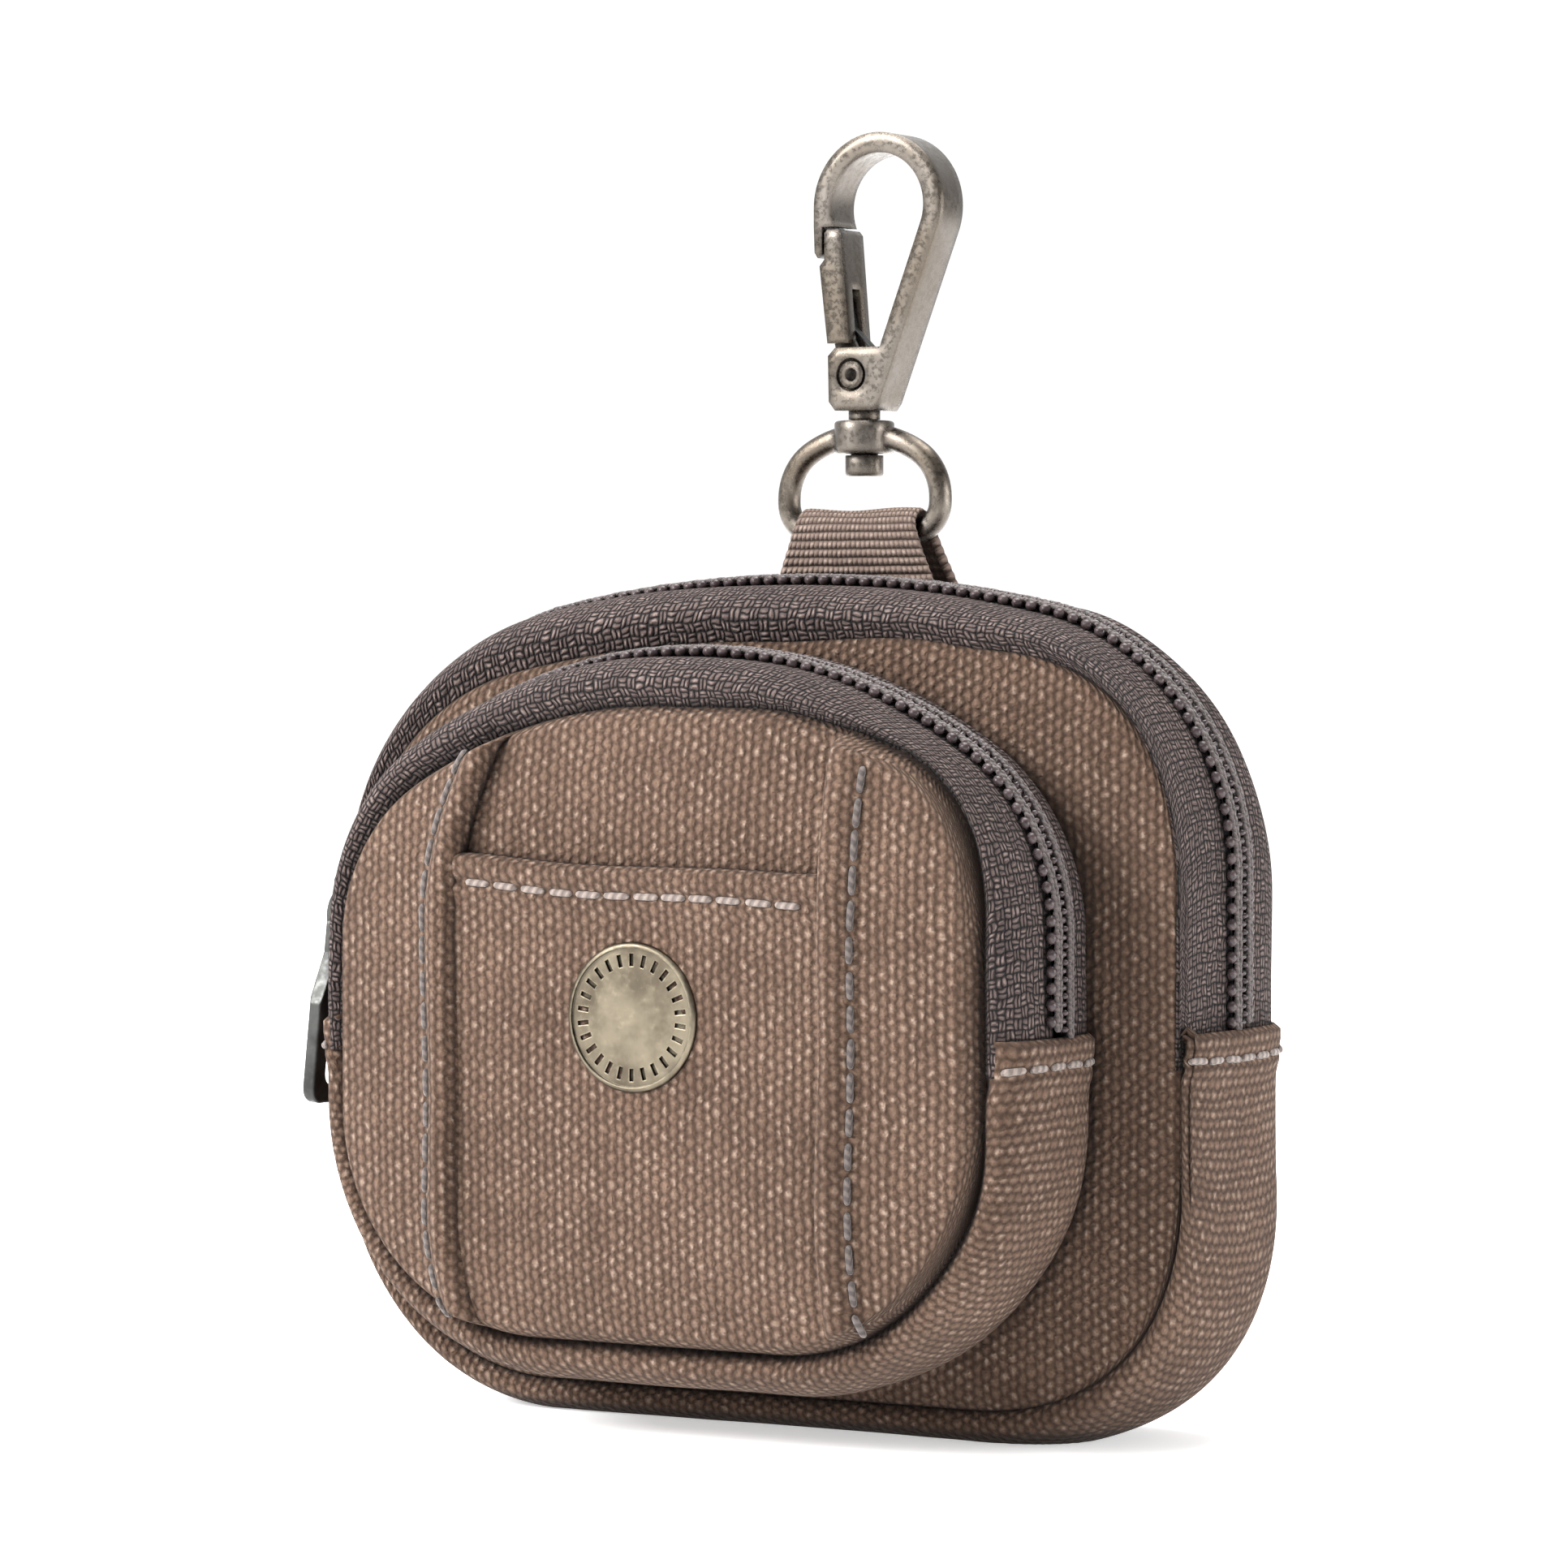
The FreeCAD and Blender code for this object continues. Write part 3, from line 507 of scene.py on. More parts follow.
hookMetal = makeMetal("aged hook plating", {
    "dark": (0.100, 0.083, 0.066), "middle": (0.140, 0.125, 0.110), "bright": (0.10, 0.082, 0.064),
    "hollow": (0.015, 0.012, 0.010), "rough": 0.27,
    "cloud": 60.0, "speck": 1500.0, "edge": 0.45, "round": 1.4, "grain": 0.003})
badgeMetal = makeMetal("antique brass", {
    "dark": (0.075, 0.062, 0.045), "middle": (0.155, 0.132, 0.096), "bright": (0.34, 0.295, 0.215),
    "hollow": (0.010, 0.008, 0.006), "rough": 0.36,
    "cloud": 160.0, "speck": 1200.0, "edge": 0.3, "round": 0.2, "grain": 0.006})
sliderMetal = makeMetal("dark zinc", {
    "dark": (0.030, 0.030, 0.030), "middle": (0.065, 0.065, 0.062), "bright": (0.17, 0.17, 0.16),
    "hollow": (0.010, 0.010, 0.010), "rough": 0.46,
    "cloud": 150.0, "speck": 1000.0, "edge": 0.4, "round": 0.35, "grain": 0.008})
print("materials made")


# canvas and tape bands

def fatness(share):
    # how a sewn roll rises from its seam: share 0 at the seam, 1 on the flat
    share = np.clip(share, 0, 1)
    return (1 - (1 - share) ** 2.3) ** (1 / 2.3)


def band(bag, stretches, profile, step, lift=None, seed=1, rough=0.12):
    # points over a cross section (y, share of the bulge, extra height) swept along a way
    counts = countsFor(stretches(bag["mid"]), step)
    front, mid, rear = [walk(stretches(bag[k]), counts) for k in ("seam", "mid", "rear seam")]
    y, share, out = profile
    s = lengthsOf(mid)
    widths = np.concatenate([[0], np.cumsum(np.hypot(np.diff(y), np.diff(share) * 5))])
    along, across = np.meshgrid(s, widths, indexing="ij")
    raised = out[None, :] + rough * ripple(along, across, seed, 17.0)
    if lift is not None:
        raised = raised + lift(along, s[-1], across)
    behind = (y > bag["zip y"])[None, :]
    points = np.zeros((len(s), len(y), 3))
    for axis, k in ((0, 0), (2, 1)):
        seam = np.where(behind, rear[:, k:k + 1], front[:, k:k + 1])
        points[:, :, axis] = seam + (mid[:, k:k + 1] - seam) * share + mid[:, k + 2:k + 3] * raised
    points[:, :, 1] = y[None, :] + 0 * along
    return points, np.stack([along, across], -1)


coilShape = {"pitch": 1.7, "from": -0.22, "to": 2.6, "tall": 1.25, "seat": 0.45, "part": 1.0,
             "crown": 0.12, "low": 0.05, "sewnAt": ((1.0, 0.3), (1.6, -0.3)), "sewnHigh": 0.40}
tapeShape = {"thick": 0.5, "flat": 4.7, "edge": 1.0, "step": 0.5, "tuck": 3.2,
             "hump": 1.35, "humpOut": 7.4, "humpWide": 1.9}


def filledOut(bag, points, high, low):
    # the right-hand corners are stuffed fuller than the left ones
    o = bag["seam"]
    cx, cz = cornerCentre(o)
    fx, fz = o["half"] - o["foot"], o["bottom"] + o["foot"]
    right = np.clip((points[..., 0] - 2) / 22, 0, 1)
    above = np.clip((points[..., 2] - o["top"] + 30) / 28, 0, 1)
    points[..., 2] += bag["lifted"] * high * right ** 2 * (3 - 2 * right) * above ** 1.5
    for x, z, up, radius, amount in ((cx, cz, 1, o["corner"], bag["fuller"][0] * high),
                                     (fx, fz, -1, o["foot"], bag["fuller"][1] * low)):
        dx, dz = points[..., 0] - x, (points[..., 2] - z) * up
        far = np.maximum(np.hypot(dx, dz), 0.01)
        turn = np.where((dx > 0) & (dz > 0), 2 * dx * dz / far ** 2, 0)
        push = amount * turn ** 1.7 * np.clip(far / radius, 0, 1.2) ** 2 / far
        points[..., 0] += dx * push
        points[..., 2] += dz * push * up
    return points


def crownAt(s, bag):
    # how much the zip stands up along its way: low where the slider runs
    surface = grown(bag["mid"], -pouch["canvas"])
    free = cornerCentre(bag["mid"])[1] - pouch["zip end"] + 1.25 * surface["corner"] + 4
    return 1 / (1 + np.exp(-(s - free) / 1.6))


def overhang(bag, share, rear):
    # how far a stuffed roll bulges past its seam
    lean = 0.0 if rear and bag is pouch["pocket"] else 0.5 if rear else 1.5
    inside = np.clip(share, 0, 1)
    return lean * (4 * inside * (1 - inside)) ** 0.8 - 0.5 * lean * np.clip(-share * 8, 0, 1)


def zipTape(name, bagName, rear):
    bag = pouch[bagName]
    seamY = bag["rear"] if rear else bag["front"]
    sign = 1 if rear else -1
    width = abs(seamY - bag["zip y"])
    run = np.linspace(-0.10, 1, 34)
    # from the seam up the roll, then level to the coils
    y = np.concatenate([width - run * (width - tapeShape["flat"]),
                        np.linspace(tapeShape["flat"], tapeShape["edge"], 17)[1:]])
    share = np.concatenate([np.where(run < 0, run * 2.2, fatness(run)), np.ones(16)])
    y = y + overhang(bag, share, rear)
    out = -pouch["canvas"] * np.clip(share, 0, 1)
    low = pouch["zip end"] - tapeShape["tuck"]
    order = slice(None, None, -1) if rear else slice(None)
    profile = (bag["zip y"] + sign * y[order], share[order], out[order])

    def crown(along, length, across):
        # the tape climbs under the coils
        beside = np.clip(1 - 0.40 * np.abs(y[order]), 0, 1)[None, :]
        climb = coilShape["crown"] * beside * crownAt(along - tapeShape["tuck"], bag)
        if not rear:
            return climb
        # the rear half stands higher over the top
        back = np.exp(-((np.abs(y[order]) - tapeShape["humpOut"]) / tapeShape["humpWide"]) ** 2)[None, :]
        return climb + tapeShape["hump"] * back * np.sin(pi * np.clip(along / length, 0, 1)) ** 4
    points, uv = band(bag, lambda o: overTheTop(o, low), profile, tapeShape["step"], crown,
                      seed=len(name), rough=0.16)
    points = filledOut(bag, points, 0.0 if rear else 1 - np.clip(share[order], 0, 1)[None, :], 0.0)
    piece = skin(name, points, uv)
    thicken(piece, tapeShape["thick"])
    node = f"{bagName}_zip_tape_{'rear' if rear else 'front'}"
    return settle(piece, tape, [node])


gussetShape = {"thick": 0.9, "step": 0.6, "hem": 4.6, "stitch": 3.0, "power": 2.5, "over": 0.45,
               "floor": 0.02}


def hemLift(along, length, across):
    # the turned-under hem is double, and pulled down along its stitching
    end = np.minimum(along, length - along)
    double = 0.55 * (1 - 1 / (1 + np.exp(-(end - gussetShape["hem"]) * 2.2)))
    rounding = -0.75 * np.clip(1 - end / 0.55, 0, 1) ** 2
    pull = -0.42 * np.exp(-((end - gussetShape["stitch"]) / 0.5) ** 2)
    return double + rounding + pull


def footGusset(bagName):
    bag = pouch[bagName]
    half = (bag["rear"] - bag["front"]) / 2
    centre = (bag["rear"] + bag["front"]) / 2
    run = np.linspace(-1, 1, 75)
    run = np.sign(run) * (1 - (1 - np.abs(run)) ** 1.5)
    share = np.clip(1 - np.abs(run) ** gussetShape["power"], 0, 1) ** (1 / gussetShape["power"])
    share[0] = share[-1] = -0.12
    # the roll leans out over its seams
    lean = np.where(run < 0, -overhang(bag, share, False), overhang(bag, share, True))
    profile = (centre + half * run + lean, share, 0 * run)
    high = pouch["zip end"] + gussetShape["over"]
    points, uv = band(bag, lambda o: roundTheFoot(o, high), profile, gussetShape["step"],
                      lift=hemLift, seed=len(bagName) + 3, rough=0.22)
    points = filledOut(bag, points, 0.0, 1.0)
    points[:, :, 2] = np.maximum(points[:, :, 2], gussetShape["floor"])
    piece = skin(bagName + "FootGusset", points, uv)
    thicken(piece, gussetShape["thick"])
    settle(piece, canvas, [bagName + "_gusset"])
    return points


for bagName in ("main", "pocket"):
    zipTape(bagName + "ZipTapeFront", bagName, False)
    zipTape(bagName + "ZipTapeRear", bagName, True)
gussets = {bagName: footGusset(bagName) for bagName in ("main", "pocket")}
print("bands made")


# face panels: each is a grid over the outline, domed and rolled into its seam

def topOf(o, x):
    cx, cz = cornerCentre(o)
    lean = math.atan2(cx, cz - (o["top"] - o["arch"]))
    x = np.abs(x)
    turn = cx + o["corner"] * math.sin(lean)
    high = o["top"] - o["arch"] + np.sqrt(o["arch"] ** 2 - np.minimum(x, turn) ** 2)
    low = cz + np.sqrt(np.clip(o["corner"] ** 2 - (x - cx) ** 2, 0, None))
    return np.where(x < turn, high, low)


def bottomOf(o, x):
    fx, fz = o["half"] - o["foot"], o["bottom"] + o["foot"]
    x = np.abs(x)
    curve = fz - np.sqrt(np.clip(o["foot"] ** 2 - (x - fx) ** 2, 0, None))
    return np.where(x < fx, o["bottom"], curve)


def insetOf(o, x, z):
    # distance in from the outline
    x = np.abs(x)
    cx, cz = cornerCentre(o)
    fx, fz = o["half"] - o["foot"], o["bottom"] + o["foot"]
    lean = math.atan2(cx, cz - (o["top"] - o["arch"]))
    d = np.minimum(o["half"] - x, z - o["bottom"])
    d = np.minimum(d, o["arch"] - np.hypot(x, z - (o["top"] - o["arch"])))
    inCorner = (x > cx) & (z > cz) & (np.arctan2(x - cx, z - cz) > lean)
    d = np.where(inCorner, np.minimum(d, o["corner"] - np.hypot(x - cx, z - cz)), d)
    inFoot = (x > fx) & (z < fz)
    return np.where(inFoot, np.minimum(d, o["foot"] - np.hypot(x - fx, z - fz)), d)


def swell(d, roll, rollWidth, crown, crownWidth):
    edge = np.clip(1 - d / rollWidth, 0, 1)
    return roll * np.sqrt(1 - edge ** 2) + crown * (1 - np.exp(-np.maximum(d, 0) / crownWidth))


def bunch(n):
    # 0 to 1, closer together at both ends
    return (1 - np.cos(np.linspace(0, pi, n))) / 2


faceShape = {
    "roll": 1.9, "rollWidth": 1.9, "crown": 1.9, "crownWidth": 6.5,
    "fold": 21.8, "foldRise": 2.4, "stitchIn": 4.0, "under": 24.5, "sunk": 1.0,
    "slipTop": 60.6, "slipDroop": 0.044, "slipRise": 1.0, "hem": 4.4, "hemStitch": 3.1,
    "behindSlip": 7, "panel": 0.8, "sewnFrom": 12.6, "sewnTo": 75.2,
}


def faceY(x, z):
    # the pocket's canvas face, before the layers sewn on it
    o = pouch["pocket"]["seam"]
    f = faceShape
    d = insetOf(o, x, z)
    rise = swell(d, f["roll"], f["rollWidth"], f["crown"], f["crownWidth"])
    rise = rise - f["sunk"] * np.clip(1 - d / 1.3, 0, 1) ** 2
    return pouch["pocket"]["front"] - rise - 0.16 * ripple(x, z, 5, 24.0)


def foldX(z, side):
    # the left fold leans in at its top and a little at its foot
    lean = 5.6 * np.clip((z - 55) / 21, 0, 1) ** 1.8 + 2.6 * np.clip((24 - z) / 14, 0, 1) ** 1.6
    x = faceShape["fold"] + 0.25 * np.sin(z * 0.16 + side)
    return x - lean if side < 0 else x + 1.1 * np.clip(np.abs(z - 38) / 34, 0, 1) ** 2


def slipTopAt(x):
    return faceShape["slipTop"] - faceShape["slipDroop"] * x + 0.2 * np.sin(x * 0.21)


def onTheCloth(points):
    # weave coordinates in mm measured along the surface, so the cloth isn't stretched
    x, y, z = points[:, :, 0], points[:, :, 1], points[:, :, 2]
    rise = np.gradient(z, axis=1)
    slope = np.clip(np.gradient(y, axis=1) / np.where(np.abs(rise) < 1e-6, 1e-6, rise), -4, 4)
    dx = np.diff(x, axis=0)
    dy = np.diff(y, axis=0) - (slope[1:] + slope[:-1]) / 2 * np.diff(z, axis=0)
    du = np.sign(dx) * np.hypot(dx, np.clip(dy, -4 * np.abs(dx), 4 * np.abs(dx)))
    u = np.vstack([0 * x[:1], np.cumsum(du, axis=0)])
    middle = int(np.argmin(np.abs(x[:, 0])))
    u = u - u[middle] + x[middle]
    dv = np.hypot(np.diff(z, axis=1), np.diff(y, axis=1))
    v = np.hstack([0 * z[:, :1], np.cumsum(dv, axis=1)])
    half = z.shape[1] // 2
    return np.stack([u, v - v[:, half:half + 1] + z[:, half:half + 1]], -1)


def panelPiece(name, points, shift, thickness, node, flip=False):
    bag = pouch["pocket" if "pocket" in name else "main"]
    points = filledOut(bag, points, 0.0 if "Back" in name else 1.0, 1.0)
    piece = skin(name, points, onTheCloth(points) + shift, flip)
    thicken(piece, thickness)
    return settle(piece, canvas, [node])


def centrePanel():
    o = pouch["pocket"]["seam"]
    x = np.linspace(-faceShape["under"], faceShape["under"], 110)
    high = topOf(o, x)
    low = slipTopAt(x) - faceShape["behindSlip"]
    w = bunch(90)[None, :] ** 0.8
    z = low[:, None] + (high - low)[:, None] * w
    xx = x[:, None] + 0 * z
    y = faceY(xx, z)
    y = y + 0.5 * np.clip(1 - (z - low[:, None]) / 6, 0, 1)
    panelPiece("pocketCentrePanel", np.stack([xx, y, z], -1), 0.0, faceShape["panel"],
               "pocket_centre_panel")


def slipPanel():
    o = pouch["pocket"]["seam"]
    f = faceShape
    x = np.linspace(-f["under"] + 0.8, f["under"] - 0.8, 110)
    low, high = bottomOf(o, x), slipTopAt(x)
    w = np.concatenate([bunch(150)[:100], np.linspace(bunch(150)[99], 1, 70)[1:]])
    w = np.sort(np.concatenate([w, 1 - np.linspace(0.002, 0.03, 8)]))[None, :]
    z = low[:, None] + (high - low)[:, None] * w
    xx = x[:, None] + 0 * z
    below = high[:, None] - z
    layer = f["slipRise"] + 0.75 / (1 + np.exp((below - f["hem"]) * 2.5))
    layer = layer - 0.55 * np.exp(-((below - f["hemStitch"]) / 0.55) ** 2)
    layer = layer + 0.25 * np.exp(-((below - 1.0) / 1.4) ** 2)
    layer = layer * np.sqrt(np.clip(1 - np.clip(1 - below / 0.7, 0, 1) ** 2, 0, 1))
    y = faceY(xx, z) - layer * np.clip(insetOf(o, xx, z) / 1.5, 0, 1)
    panelPiece("pocketSlipPanel", np.stack([xx, y, z], -1), 0.4, f["panel"], "pocket_slip_panel")


def sideLayer(fromFold, d):
    f = faceShape
    layer = 0.9 + (f["foldRise"] - 0.9) / (1 + np.exp((fromFold - f["stitchIn"] - 0.6) * 3))
    layer = layer - 0.85 * np.exp(-((fromFold - f["stitchIn"]) / 0.8) ** 2)
    layer = layer + 0.5 * np.exp(-((fromFold - 1.9) / 1.1) ** 2)
    turned = np.sqrt(np.clip(1 - np.clip(1 - fromFold / 1.15, 0, 1) ** 2, 0, 1))
    return (layer + 0.5) * turned * np.clip(d / 1.2, 0.25, 1) - 0.5


def sidePanel(side):
    o = pouch["pocket"]["seam"]
    u = np.concatenate([np.linspace(0, 0.09, 14), np.linspace(0.09, 1, 60)[1:]])
    u = np.sin(u * pi / 2)
    w = bunch(170)
    middle = faceShape["fold"]
    xx = np.zeros((len(u), len(w)))
    z = np.zeros_like(xx)
    for _ in range(3):
        fold = foldX(z, side) if z.any() else middle + 0 * z
        xx = fold + (o["half"] - fold) * u[:, None]
        low, high = bottomOf(o, xx[:, :1])[:, 0], topOf(o, xx[:, -1:])[:, 0]
        z = low[:, None] + (high - low)[:, None] * w[None, :]
    z = np.clip(z, bottomOf(o, xx), topOf(o, xx))
    fromFold = xx - foldX(z, side)
    y = faceY(side * xx, z) - sideLayer(fromFold, insetOf(o, xx, z))
    points = np.stack([side * xx, y, z], -1)
    name, node = ("Right", "right") if side > 0 else ("Left", "left")
    panelPiece("pocketSidePanel" + name, points, 0.3 * side, faceShape["panel"],
               "pocket_side_panel_" + node, side < 0)


def wholeFace(name, o, seamY, outwards, shape, node, seed=3):
    x = o["half"] * np.sin(np.linspace(-pi / 2, pi / 2, 150))
    low, high = bottomOf(o, x), topOf(o, x)
    z = low[:, None] + (high - low)[:, None] * bunch(130)[None, :]
    xx = x[:, None] + 0 * z
    y = seamY + outwards * (swell(insetOf(o, xx, z), *shape) + 0.25 * ripple(xx, z, seed, 30.0) *
                            np.clip(insetOf(o, xx, z) / 8, 0, 1))
    points = np.stack([xx, y, z], -1)
    panelPiece(name, points, 7.1, 0.9, node, outwards > 0)


centrePanel()
slipPanel()
sidePanel(1)
sidePanel(-1)
wholeFace("mainFrontPanel", pouch["main"]["seam"], -11.3, -1, (1.0, 1.5, 0.75, 5.0), "main_front_panel")
wholeFace("mainBackPanel", pouch["main"]["rear seam"], 11.3, 1, (1.2, 1.6, 2.1, 9.0), "main_back_panel",
          seed=8)
print("panels made")


# coils and their sewing

def smallBall(segments, rings):
    bpy.ops.mesh.primitive_uv_sphere_add(segments=segments, ring_count=rings, radius=1,
                                         rotation=(0, pi / 2, 0))
    ball = bpy.context.active_object
    bpy.ops.object.transform_apply(location=False, rotation=True, scale=False)
    return ball


def coilTurn():
    # a turn from above: a fat bend outside, a waist under the sewing, a small head inside
    turn = smallBall(12, 14)
    c = coilShape
    for vertex in turn.data.vertices:
        x, y, z = vertex.co
        t = (x + 1) / 2
        ring = math.hypot(y, z) or 1.0
        full = math.sqrt(max(0.0, 1 - abs(x) ** 4))
        wide = (0.30 + 0.44 * math.exp(-((t - 0.84) / 0.15) ** 2)
                + 0.16 * math.exp(-((t - 0.08) / 0.12) ** 2))
        tall = c["tall"] / 2 * (0.62 + 0.38 * math.exp(-((t - 0.82) / 0.22) ** 2)
                                + 0.75 * math.exp(-((t - 0.12) / 0.13) ** 2))
        vertex.co = (c["from"] + (c["to"] - c["from"]) * t, y / ring * full * wide, z / ring * full * tall)
    return turn


def threadLink():
    link = smallBall(8, 8)
    for vertex in link.data.vertices:
        x, y, z = vertex.co
        vertex.co = (x * 0.66, y * 0.36, z * 0.26)
    return link


def zipCoil(bagName, rear):
    bag, c = pouch[bagName], coilShape
    way = overTheTop(grown(bag["mid"], -pouch["canvas"]), pouch["zip end"] + 0.3)
    rows = walk(way, countsFor(way, 0.25))
    s = lengthsOf(rows)
    sign = 1 if rear else -1
    sliderS = cornerCentre(bag["mid"])[1] - pouch["zip end"]
    dice = random.Random(len(bagName) + 2 * rear)
    turns, links = [], []
    where = 0.6 + (0.5 * c["pitch"] if rear else 0)
    while where < s[-1] - 0.4:
        x, z, nx, nz = [float(np.interp(where, s, rows[:, k])) for k in range(4)]
        apart = c["part"] / (1 + math.exp((where - sliderS) * 1.2))
        crown = c["low"] + (c["crown"] - c["low"]) * float(crownAt(where, bag))
        up = Vector((nx, 0, nz))
        outward = (Vector((0, sign, 0)) - up * crown * 0.42).normalized()
        normal = (up + Vector((0, sign, 0)) * crown * 0.42).normalized()
        root = Vector((x, bag["zip y"] + sign * apart, z)) + up * (c["seat"] + crown)
        turns.append((tuple(root), outward, normal, (1, 1, 1)))
        forward = Vector((nz, 0, -nx))
        for step in (-0.25, 0.25):
            for across, lean in c["sewnAt"]:
                middle = (root + outward * across + normal * (c["sewnHigh"] + dice.uniform(-0.04, 0.04)) +
                          forward * step * c["pitch"])
                links.append((tuple(middle), forward + outward * lean, normal,
                              (1, dice.uniform(0.92, 1.1), 1)))
        where += c["pitch"]
    name = bagName + "Zip" + ("Rear" if rear else "Front")
    turn, link = coilTurn(), threadLink()
    coil = scatter(name + "Coil", turn, turns)
    sewing = scatter(name + "Sewing", link, links)
    for model in (turn, link):
        bpy.data.objects.remove(model)
    settle(coil, coilNylon, [f"{bagName}_zip_coil_{'rear' if rear else 'front'}"])
    settle(sewing, tapeThread, [])


for bagName in ("main", "pocket"):
    zipCoil(bagName, False)
    zipCoil(bagName, True)
print("coils made")


# seams sewn by hand-guided machine: dashes that dip at both ends

stitchShape = {"pitch": 3.45, "share": 0.86, "thick": 0.40, "tall": 0.34}


def stitchModel():
    dash = smallBall(10, 12)
    for vertex in dash.data.vertices:
        x, y, z = vertex.co
        sink = -0.30 * abs(x) ** 4
        full = (1 - abs(x) ** 6) ** 0.5 if abs(x) < 1 else 0
        ring = math.hypot(y, z) or 1.0
        vertex.co = (x, y / ring * full, z / ring * full + sink)
    return dash


def stitchLine(name, points, normals, material, pitch=None, seed=1):
    dice = random.Random(seed)
    points, normals = np.array(points), np.array(normals)
    pitch = pitch or stitchShape["pitch"]
    s = np.concatenate([[0], np.cumsum(np.linalg.norm(np.diff(points, axis=0), axis=1))])
    places = []
    where = pitch * 0.5
    while where < s[-1] - pitch * 0.15:
        jitter = dice.uniform(-0.12, 0.12)
        at = [float(np.interp(where, s, points[:, k])) for k in range(3)]
        up = [float(np.interp(where, s, normals[:, k])) for k in range(3)]
        back = [float(np.interp(where - 0.8, s, points[:, k])) for k in range(3)]
        ahead = [float(np.interp(where + 0.8, s, points[:, k])) for k in range(3)]
        along = Vector(ahead) - Vector(back) + Vector(np.cross(up, [0.0, 1.0, 0.3])) * jitter
        half = pitch * stitchShape["share"] / 2 + dice.uniform(-0.12, 0.12)
        middle = Vector(at) + Vector(up) * 0.18
        places.append((tuple(middle), along, up, (half, stitchShape["thick"], stitchShape["tall"])))
        where += pitch + dice.uniform(-0.15, 0.15)
    model = stitchModel()
    piece = scatter(name, model, places)
    bpy.data.objects.remove(model)
    return settle(piece, material, [])


def onFace(xs, zs, layer):
    # points and normals on the pocket's face
    xs, zs = np.array(xs, float), np.array(zs, float)
    y = faceY(xs, zs) - layer
    gx = (faceY(xs + 0.5, zs) - faceY(xs - 0.5, zs))
    gz = (faceY(xs, zs + 0.5) - faceY(xs, zs - 0.5))
    normals = np.stack([gx, -np.ones_like(gx), gz], -1)
    normals /= np.linalg.norm(normals, axis=1)[:, None]
    return filledOut(pouch["pocket"], np.stack([xs, y, zs], -1), 1.0, 1.0), normals


def faceStitching():
    f = faceShape
    for side, name in ((1, "Right"), (-1, "Left")):
        z = np.linspace(f["sewnFrom"], f["sewnTo"], 120)
        x = foldX(z, side) + f["stitchIn"]
        keep = insetOf(pouch["pocket"]["seam"], x, z) > 0.3
        points, normals = onFace(side * x[keep], z[keep], sideLayer(f["stitchIn"], 5.0))
        stitchLine("sideTopstitch" + name, points, normals, greyThread, seed=side + 5)
    x = np.linspace(-f["fold"] + 0.9, f["fold"] - 0.6, 90)
    z = slipTopAt(x) - f["hemStitch"]
    points, normals = onFace(x, z, f["slipRise"] + 0.16)
    stitchLine("slipHemStitch", points, normals, paleThread, seed=11)


def hemStitching(bagName):
    points = gussets[bagName]
    for end, name in ((0, "Right"), (-1, "Left")):
        row = int(round(gussetShape["stitch"] / gussetShape["step"]))
        k = row if end == 0 else -1 - row
        sewn = points[k, 4:-4]
        beside = points[k + 1, 4:-4] - sewn
        along = np.gradient(sewn, axis=0)
        normals = np.cross(beside, along)
        normals /= np.linalg.norm(normals, axis=1)[:, None]
        normals = normals if normals[20, 0] * sewn[20, 0] > 0 else -normals
        stitchLine(bagName + "HemStitch" + name, sewn + normals * 0.05, normals, paleThread,
                   pitch=3.6, seed=20 + len(bagName) + end)


faceStitching()
hemStitching("main")
hemStitching("pocket")
print("stitching made")


# webbing loop round the eye's bar

webShape = {
    "wide": 10.0, "narrow": 7.5, "thick": 1.05, "rib": 0.20, "inner": 1.62, "wire": 1.25,
    "front": [(12.2, 82.5), (11.4, 86.0), (10.35, 90.0), (9.9, 93.2)],
    "rear": [(15.5, 93.0), (16.3, 89.8), (16.0, 86.0), (15.0, 82.0)],
}


def webbingLoop():
    w = webShape
    low, high = reach("swivel_eye")
    eyeY = (low[1] + high[1]) / 2
    barZ = low[2] + w["wire"]
    radius = w["inner"] + w["thick"]
    arch = [(eyeY - radius * math.cos(a), barZ + radius * math.sin(a))
            for a in np.linspace(-0.1, pi + 0.1, 15)]
    spine = np.array(w["front"] + arch + w["rear"])
    knots = np.concatenate([[0], np.cumsum(np.hypot(*np.diff(spine, axis=0).T))])
    s = np.linspace(0, knots[-1], 420)
    y, z = np.interp(s, knots, spine[:, 0]), np.interp(s, knots, spine[:, 1])
    kernel = np.ones(9) / 9
    for _ in range(2):
        y[4:-4] = np.convolve(y, kernel, "valid")
        z[4:-4] = np.convolve(z, kernel, "valid")
    dy, dz = np.gradient(y), np.gradient(z)
    size = np.hypot(dy, dz)
    ny, nz = -dz / size, dy / size
    half = w["narrow"] + (w["wide"] - w["narrow"]) * np.clip((97.5 - z) / 7.5, 0, 1) ** 1.1
    across = np.linspace(-1, 1, 81)
    ss, aa = np.meshgrid(s, across, indexing="ij")
    xx = half[:, None] * aa
    # ribs run across the strap; the floats step over them
    raised = w["rib"] * (np.abs(np.cos(pi * ss / webLook["up"])) ** 0.8 - 0.5)
    edge = -0.35 * np.clip((np.abs(aa) - 0.93) / 0.07, 0, 1) ** 2
    raised = raised + edge + 0.15 * ripple(xx, ss, 4, 9.0)
    points = np.stack([xx, y[:, None] + ny[:, None] * raised, z[:, None] + nz[:, None] * raised], -1)
    uv = np.stack([aa * w["wide"], ss], -1)
    piece = skin("webbingLoop", points, uv, flip=True)
    thicken(piece, w["thick"])
    settle(piece, webCloth, ["webbing_loop"])


webbingLoop()
print("webbing made")


# finishes for the metal and the linings

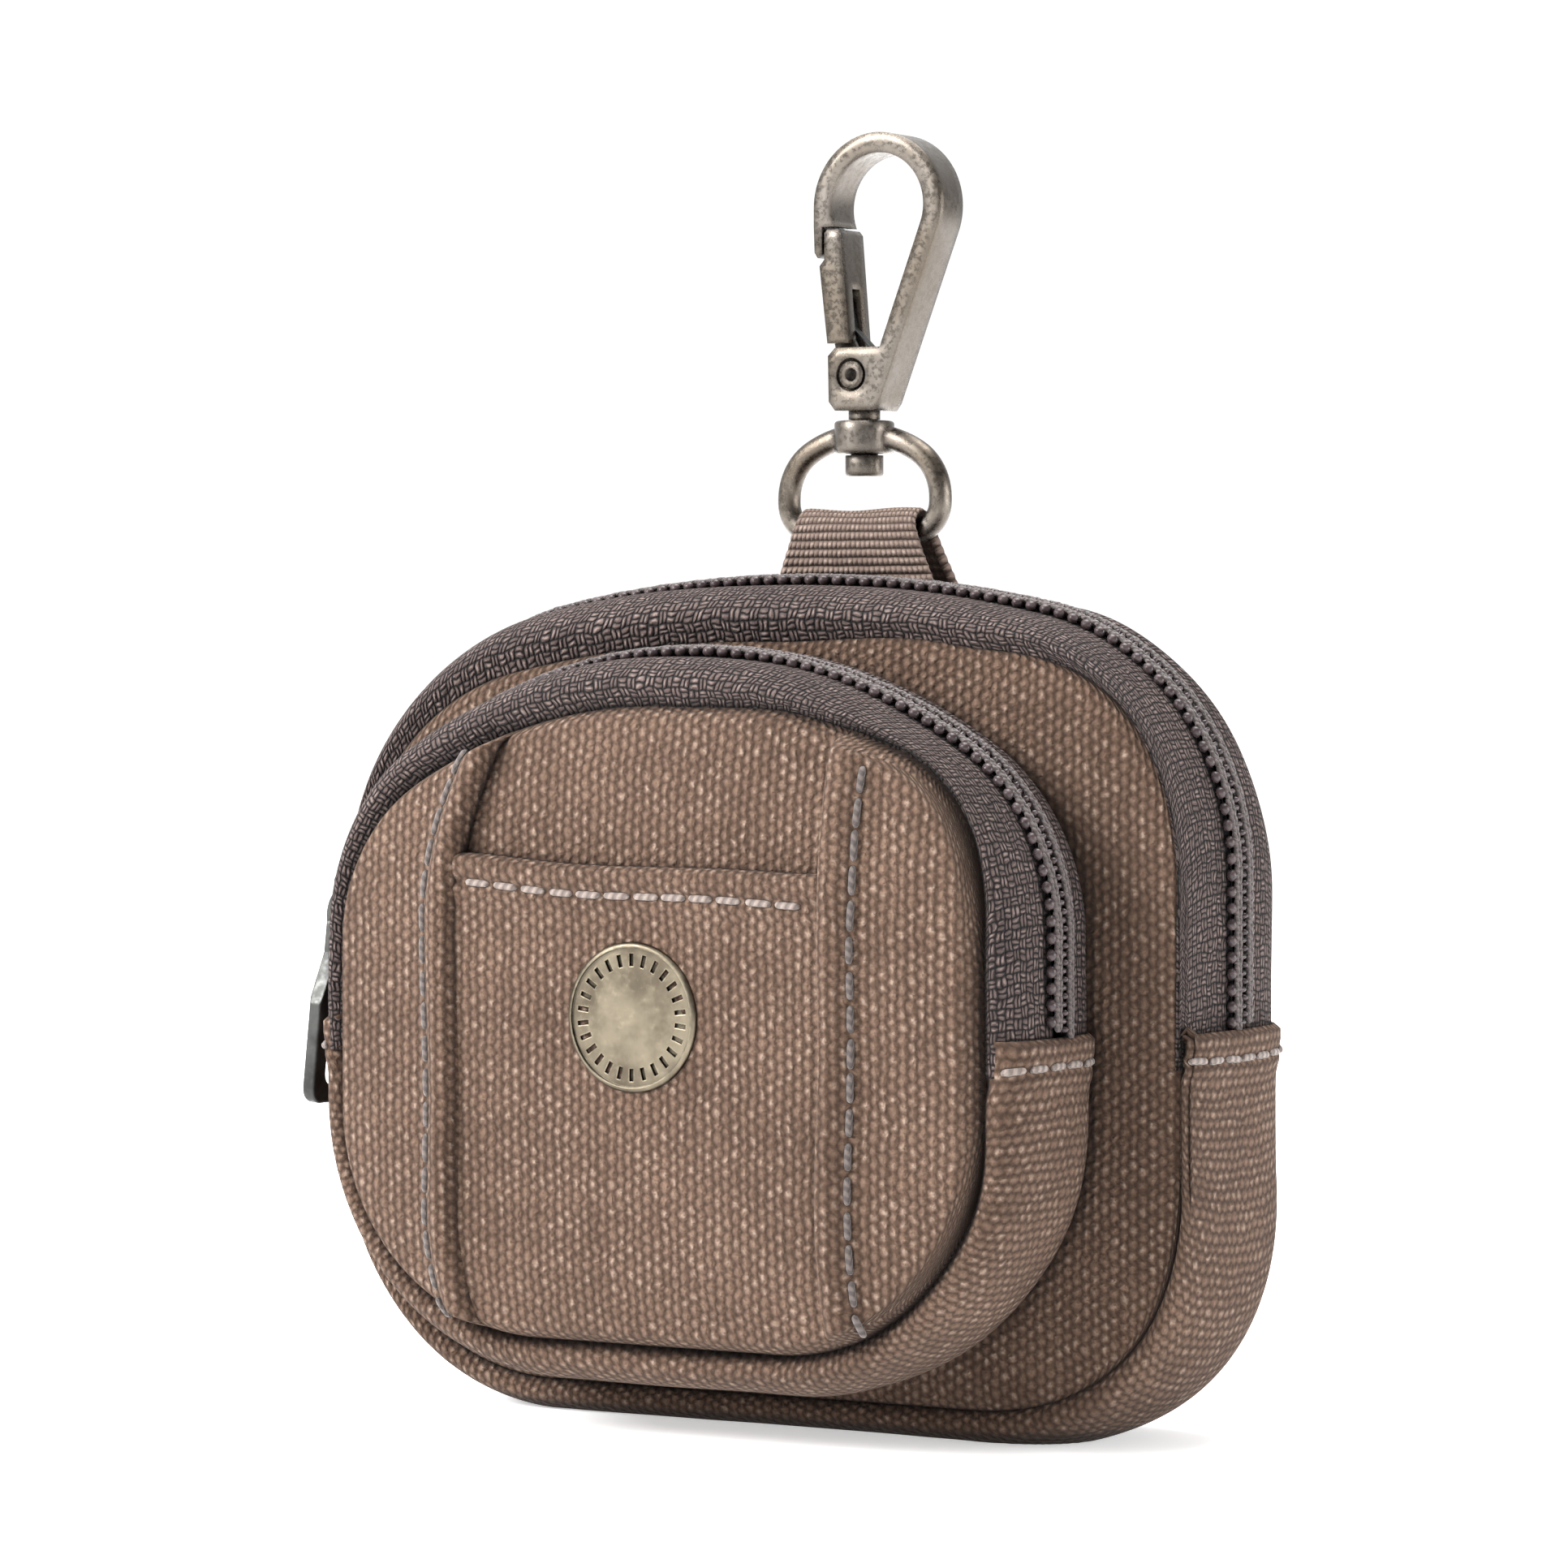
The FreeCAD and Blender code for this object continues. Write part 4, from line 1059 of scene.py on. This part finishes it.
def refinish():
    liningCloth, tree, shader = newMaterial("lining cloth", 0.8, sheen=0.2)
    place = tree.nodes.new("ShaderNodeTexCoord").outputs["Object"]
    apart = tree.nodes.new("ShaderNodeSeparateXYZ")
    tree.links.new(place, apart.inputs[0])
    u = calc(tree, "MULTIPLY", calc(tree, "ADD", apart.outputs[0], apart.outputs[1]), 1000.0)
    v = calc(tree, "MULTIPLY", apart.outputs[2], 1000.0)
    height, dice = beads(tree, u, v, liningLook)
    base = blendColor(tree, dice, liningLook["dark"], liningLook["light"])
    # painted shade: the lining goes to its dark gap shade where its weave is low
    tree.links.new(blendColor(tree, height, liningLook["gapShade"], base), shader.inputs["Base Color"])
    bump(tree, shader, height, liningLook["depth"])
    finishes = {"swivel_eye": hookMetal, "swivel_stud": hookMetal, "hook_body": hookMetal,
                "gate_lever": hookMetal, "gate_rivet": hookMetal, "gate_spring": sliderMetal,
                "badge_cap": badgeMetal, "badge_post": badgeMetal, "badge_washer": badgeMetal}
    for name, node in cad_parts.items():
        material = finishes.get(name)
        if "slider" in name or "pull_tab" in name:
            material = sliderMetal
        if "lining" in name:
            material = liningCloth
        if material is None:
            continue
        if not node.material_slots:
            node.data.materials.append(material)
        for place in node.material_slots:
            place.material = material


refinish()


# studio

def studio():
    bpy.ops.mesh.primitive_plane_add(size=30, location=(0, 0, 0))
    floor = bpy.context.active_object
    floor.name = "studioFloor"
    material, tree, shader = newMaterial("pale floor", 0.9)
    place = tree.nodes.new("ShaderNodeTexCoord").outputs["Object"]
    tone = blendColor(tree, blur(tree, place, 3.0), (0.90, 0.90, 0.90), (0.94, 0.94, 0.94))
    tree.links.new(tone, shader.inputs["Base Color"])
    shader.inputs["Emission Color"].default_value = (1, 1, 1, 1)
    shader.inputs["Emission Strength"].default_value = 0.5
    floor.data.materials.append(material)
    world = bpy.context.scene.world or bpy.data.worlds.new("studio")
    bpy.context.scene.world = world
    world.use_nodes = True
    tree = world.node_tree
    back = tree.nodes.get("Background")
    # a white room with a darker end to the right
    place = tree.nodes.new("ShaderNodeTexCoord")
    end = tree.nodes.new("ShaderNodeVectorMath")
    end.operation = "DOT_PRODUCT"
    end.inputs[1].default_value = (0.97, -0.22, 0.0)
    tree.links.new(place.outputs["Generated"], end.inputs[0])
    dim = spread(tree, end.outputs["Value"], -0.15, 0.75)
    tree.links.new(blendColor(tree, dim, (1, 1, 1), (0.30, 0.30, 0.31)), back.inputs["Color"])
    back.inputs["Strength"].default_value = 1.06
    lamps = [("keyLight", (-0.55, -0.75, 0.65), 0.5, 29.0), ("topLight", (0.0, 0.1, 0.9), 0.6, 13.0),
             ("sideLight", (0.85, 0.20, 0.10), 0.5, 8.0)]
    for name, place, size, power in lamps:
        data = bpy.data.lights.new(name, "AREA")
        data.size = size
        data.energy = power
        lamp = bpy.data.objects.new(name, data)
        lamp.location = place
        inwards = Vector((0, -0.01, 0.06)) - Vector(place)
        lamp.rotation_euler = inwards.to_track_quat("-Z", "Y").to_euler()
        bpy.context.collection.objects.link(lamp)
    bpy.context.scene.view_settings.view_transform = "Standard"


def camera():
    look = {"azimuth": 30.84, "height": 1.29, "distance": 600.0, "aim": (9.3, -20.33, 68.9), "lens": 131.9}
    a, e = math.radians(look["azimuth"]), math.radians(look["height"])
    back = Vector((math.sin(a) * math.cos(e), -math.cos(a) * math.cos(e), math.sin(e)))
    data = bpy.data.cameras.new("camera")
    data.lens = look["lens"]
    data.sensor_width = 36
    data.clip_start = 0.05
    data.clip_end = 60
    eye = bpy.data.objects.new("camera", data)
    eye.location = Vector(look["aim"]) * mm + back * look["distance"] * mm
    eye.rotation_euler = (-back).to_track_quat("-Z", "Y").to_euler()
    bpy.context.collection.objects.link(eye)
    bpy.context.scene.camera = eye


studio()
camera()
print("studio made")
